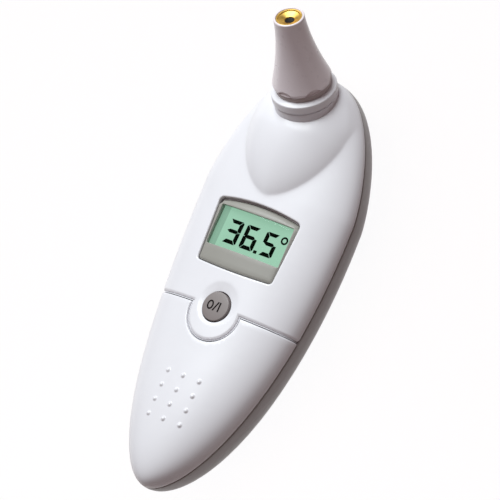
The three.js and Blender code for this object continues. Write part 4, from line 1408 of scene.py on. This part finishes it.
def cross_headed(name, node, head_radius, shank_radius):
    """A pan head screw with a cross recess, in the place of a CAD screw."""
    low, high = cad_box(node)
    centre = cad_centre(node)
    downward = name.startswith("housing")
    flip = Matrix.Rotation(math.pi, 4, "X") if downward else Matrix.Identity(4)
    top = -low.z if downward else high.z
    end, seat = top - (high.z - low.z), top - SCREW["head"]
    profile = filleted([
        (0, end, 0), (shank_radius * SCREW["point_share"], end, 0), (shank_radius, end + SCREW["point"], 0),
        (shank_radius, seat, 0.1), (head_radius, seat, 0.1), (head_radius, top - SCREW["rim"], 0.35),
    ])
    profile += [(head_radius * s, top - SCREW["dome"] * s ** 2) for s in (0.8, 0.6, 0.4, 0.2, 0)]
    place = upright(centre.x, centre.y) @ flip
    screw = turned(name, profile, place, "bright_steel", segments=SCREW["segments"], replaces=[node])
    recess = (head_radius * SCREW["recess_share"], SCREW["recess_width"], SCREW["recess_depth"], 1)
    cutter = bmesh.new()
    for turn in (0, math.pi / 2):
        made = bmesh.ops.create_cube(cutter, size=1)["verts"]
        shape = place @ Matrix.Translation((0, 0, top)) @ Matrix.Rotation(turn, 4, "Z")
        shape = shape @ Matrix.Diagonal(recess)
        bmesh.ops.transform(cutter, matrix=Matrix.Scale(MM, 4) @ shape, verts=made)
    mesh = bpy.data.meshes.new("recess")
    cutter.to_mesh(mesh)
    cutter.free()
    tool = added("recess", mesh)
    cut = screw.modifiers.new("recess", "BOOLEAN")
    cut.object = tool
    cut.operation = "DIFFERENCE"
    cut.solver = "EXACT"
    cut.use_self = True
    bpy.context.view_layer.update()
    evaluated = screw.evaluated_get(bpy.context.evaluated_depsgraph_get())
    finished = bpy.data.meshes.new_from_object(evaluated)
    screw.modifiers.clear()
    screw.data = finished
    finished.set_sharp_from_angle(angle=SCREW["sharp"])
    bpy.data.objects.remove(tool)


def make_wells():
    """The deep cups under the two housing screws."""
    bore, outer, mouth, floor, top = (WELL[key] for key in ("bore", "outer", "mouth_z", "floor_z", "top_z"))
    corners = [(bore, floor, 0), (WELL_RADIUS, floor, 0.15), (WELL_RADIUS, mouth, 0), (outer, mouth, 0),
               (outer, top, 0), (bore, top, 0)]
    for side, well in zip(("left", "right"), WELLS):
        turned(f"screw_well_{side}", filleted(corners), upright(well.x, well.y), "grey_shell",
               segments=WELL["segments"])


make_wells()
for number in (1, 2):
    cross_headed(f"housing_screw_{number}_fine", f"housing_screw_{number}", 1.9, 0.9)
for number in (1, 2, 3):
    cross_headed(f"tray_screw_{number}_fine", f"tray_screw_{number}", 1.75, 0.75)

# ---------------------------------------------------------------- battery bay

# Coin cell: how far in from its rim and how far up its steps are, and the plus sign on its top.
CELL = {"cap": 1.2, "cap_round": 1.0, "cap_height": 0.45, "flank": 0.8, "rim": 1.3, "face": 1.5, "sunk": 0.06}
PLUS = {"arm": 1.5, "half": 0.28, "drop": 4, "height": 0.03}


def make_coin_cell():
    low, high = cad_box("coin_cell")
    centre = cad_centre("coin_cell")
    radius, top = (high.x - low.x) / 2, high.z - CELL["sunk"]
    corners = [(0, low.z, 0), (radius - CELL["cap"], low.z, 0.15),
               (radius - CELL["cap_round"], low.z + CELL["cap_height"], 0.1),
               (radius, low.z + CELL["flank"], 0.3), (radius, high.z, 0.35),
               (radius - CELL["rim"], high.z, 0), (radius - CELL["face"], top, 0), (0, top, 0)]
    turned("coin_cell_can", filleted(corners), upright(centre.x, centre.y), "bright_steel",
           replaces=["coin_cell"])
    arm, half = PLUS["arm"], PLUS["half"]
    cross = [(-half, -arm), (half, -arm), (half, -half), (arm, -half), (arm, half), (half, half),
             (half, arm), (-half, arm), (-half, half), (-arm, half), (-arm, -half), (-half, -half)]
    place = [(centre.x + x, centre.y - PLUS["drop"] + y) for x, y in cross]
    plate("polarity_plus", [place], lambda x, y: top, -PRINT_SINK, PLUS["height"], "bright_steel")


make_coin_cell()

# ---------------------------------------------------------------- stage, light and camera

def make_floor():
    """A pale ground in metres, just under the object, that sends no light back to it."""
    reach, cells, clearance = 3.0, 24, 0.0001
    points, faces = [], []
    z = CAD_BOX[0].z - clearance
    for i in range(cells + 1):
        for j in range(cells + 1):
            points.append((reach * (2 * i / cells - 1), reach * (2 * j / cells - 1), z))
    for i in range(cells):
        for j in range(cells):
            a = i * (cells + 1) + j
            faces.append((a, a + cells + 1, a + cells + 2, a + 1))
    mesh = bpy.data.meshes.new("floor")
    mesh.from_pydata(points, [], faces)
    look = Look("pale_floor", Roughness=0.9)
    look.colour(look.noise(400, 2), (0.9, 0.9, 0.9), (0.93, 0.93, 0.93))
    mesh.materials.append(look.material)
    floor = added("floor", mesh)
    floor.visible_diffuse = False
    return floor


def make_light(name, direction, distance, size, power, colour, receivers):
    """A round soft box that lights only the receivers."""
    lamp = bpy.data.lights.new(name, "AREA")
    lamp.shape = "DISK"
    lamp.size = size
    lamp.energy = power
    lamp.color = colour
    made = added(name, lamp)
    centre = (CAD_BOX[0] + CAD_BOX[1]) / 2
    toward = Vector(direction).normalized()
    made.location = centre + toward * distance
    made.rotation_mode = "QUATERNION"
    made.rotation_quaternion = toward.to_track_quat("Z", "Y")
    lit = bpy.data.collections.new(f"lit_by_{name}")
    for thing in receivers:
        lit.objects.link(thing)
    made.light_linking.receiver_collection = lit
    made.light_linking.blocker_collection = lit


def make_world():
    world = bpy.data.worlds.new("studio")
    world.use_nodes = True
    background = world.node_tree.nodes["Background"]
    background.inputs["Color"].default_value = (1.0, 0.76, 0.73, 1)
    background.inputs["Strength"].default_value = 0.165
    bpy.context.scene.world = world


CAMERA = {
    "azimuth": math.radians(78.05),
    "elevation": math.radians(55.96),
    "roll": math.radians(-55.62),
    "distance": 0.8854,
    "aside": 0.00447,
    "above": 0.00146,
    "lens": 256.3,
}


def make_camera():
    azimuth, elevation = CAMERA["azimuth"], CAMERA["elevation"]
    level = Vector((math.cos(azimuth), math.sin(azimuth), 0))
    flat = math.cos(elevation)
    back = Vector((math.sin(azimuth) * flat, -math.cos(azimuth) * flat, math.sin(elevation)))
    right = Matrix.Rotation(CAMERA["roll"], 3, back) @ level
    up = back.cross(right)
    target = (CAD_BOX[0] + CAD_BOX[1]) / 2 + right * CAMERA["aside"] + up * CAMERA["above"]
    data = bpy.data.cameras.new("camera")
    data.lens = CAMERA["lens"]
    camera = added("camera", data)
    turn = Matrix((right, up, back)).transposed().to_4x4()
    camera.matrix_world = Matrix.Translation(target + back * CAMERA["distance"]) @ turn
    bpy.context.scene.camera = camera


PIECES = [thing for thing in bpy.context.scene.objects if thing.type == "MESH"]
FLOOR = make_floor()
make_world()
make_light("key", (-0.28, 0.5, 0.82), 0.9, 0.75, 10.6, (0.91, 0.98, 1.0), PIECES)
make_light("floor_wash", (0, 0, 1), 1.6, 2.4, 39, (0.97, 0.99, 1.0), [FLOOR])
make_camera()
bpy.context.scene.view_settings.view_transform = "Standard"
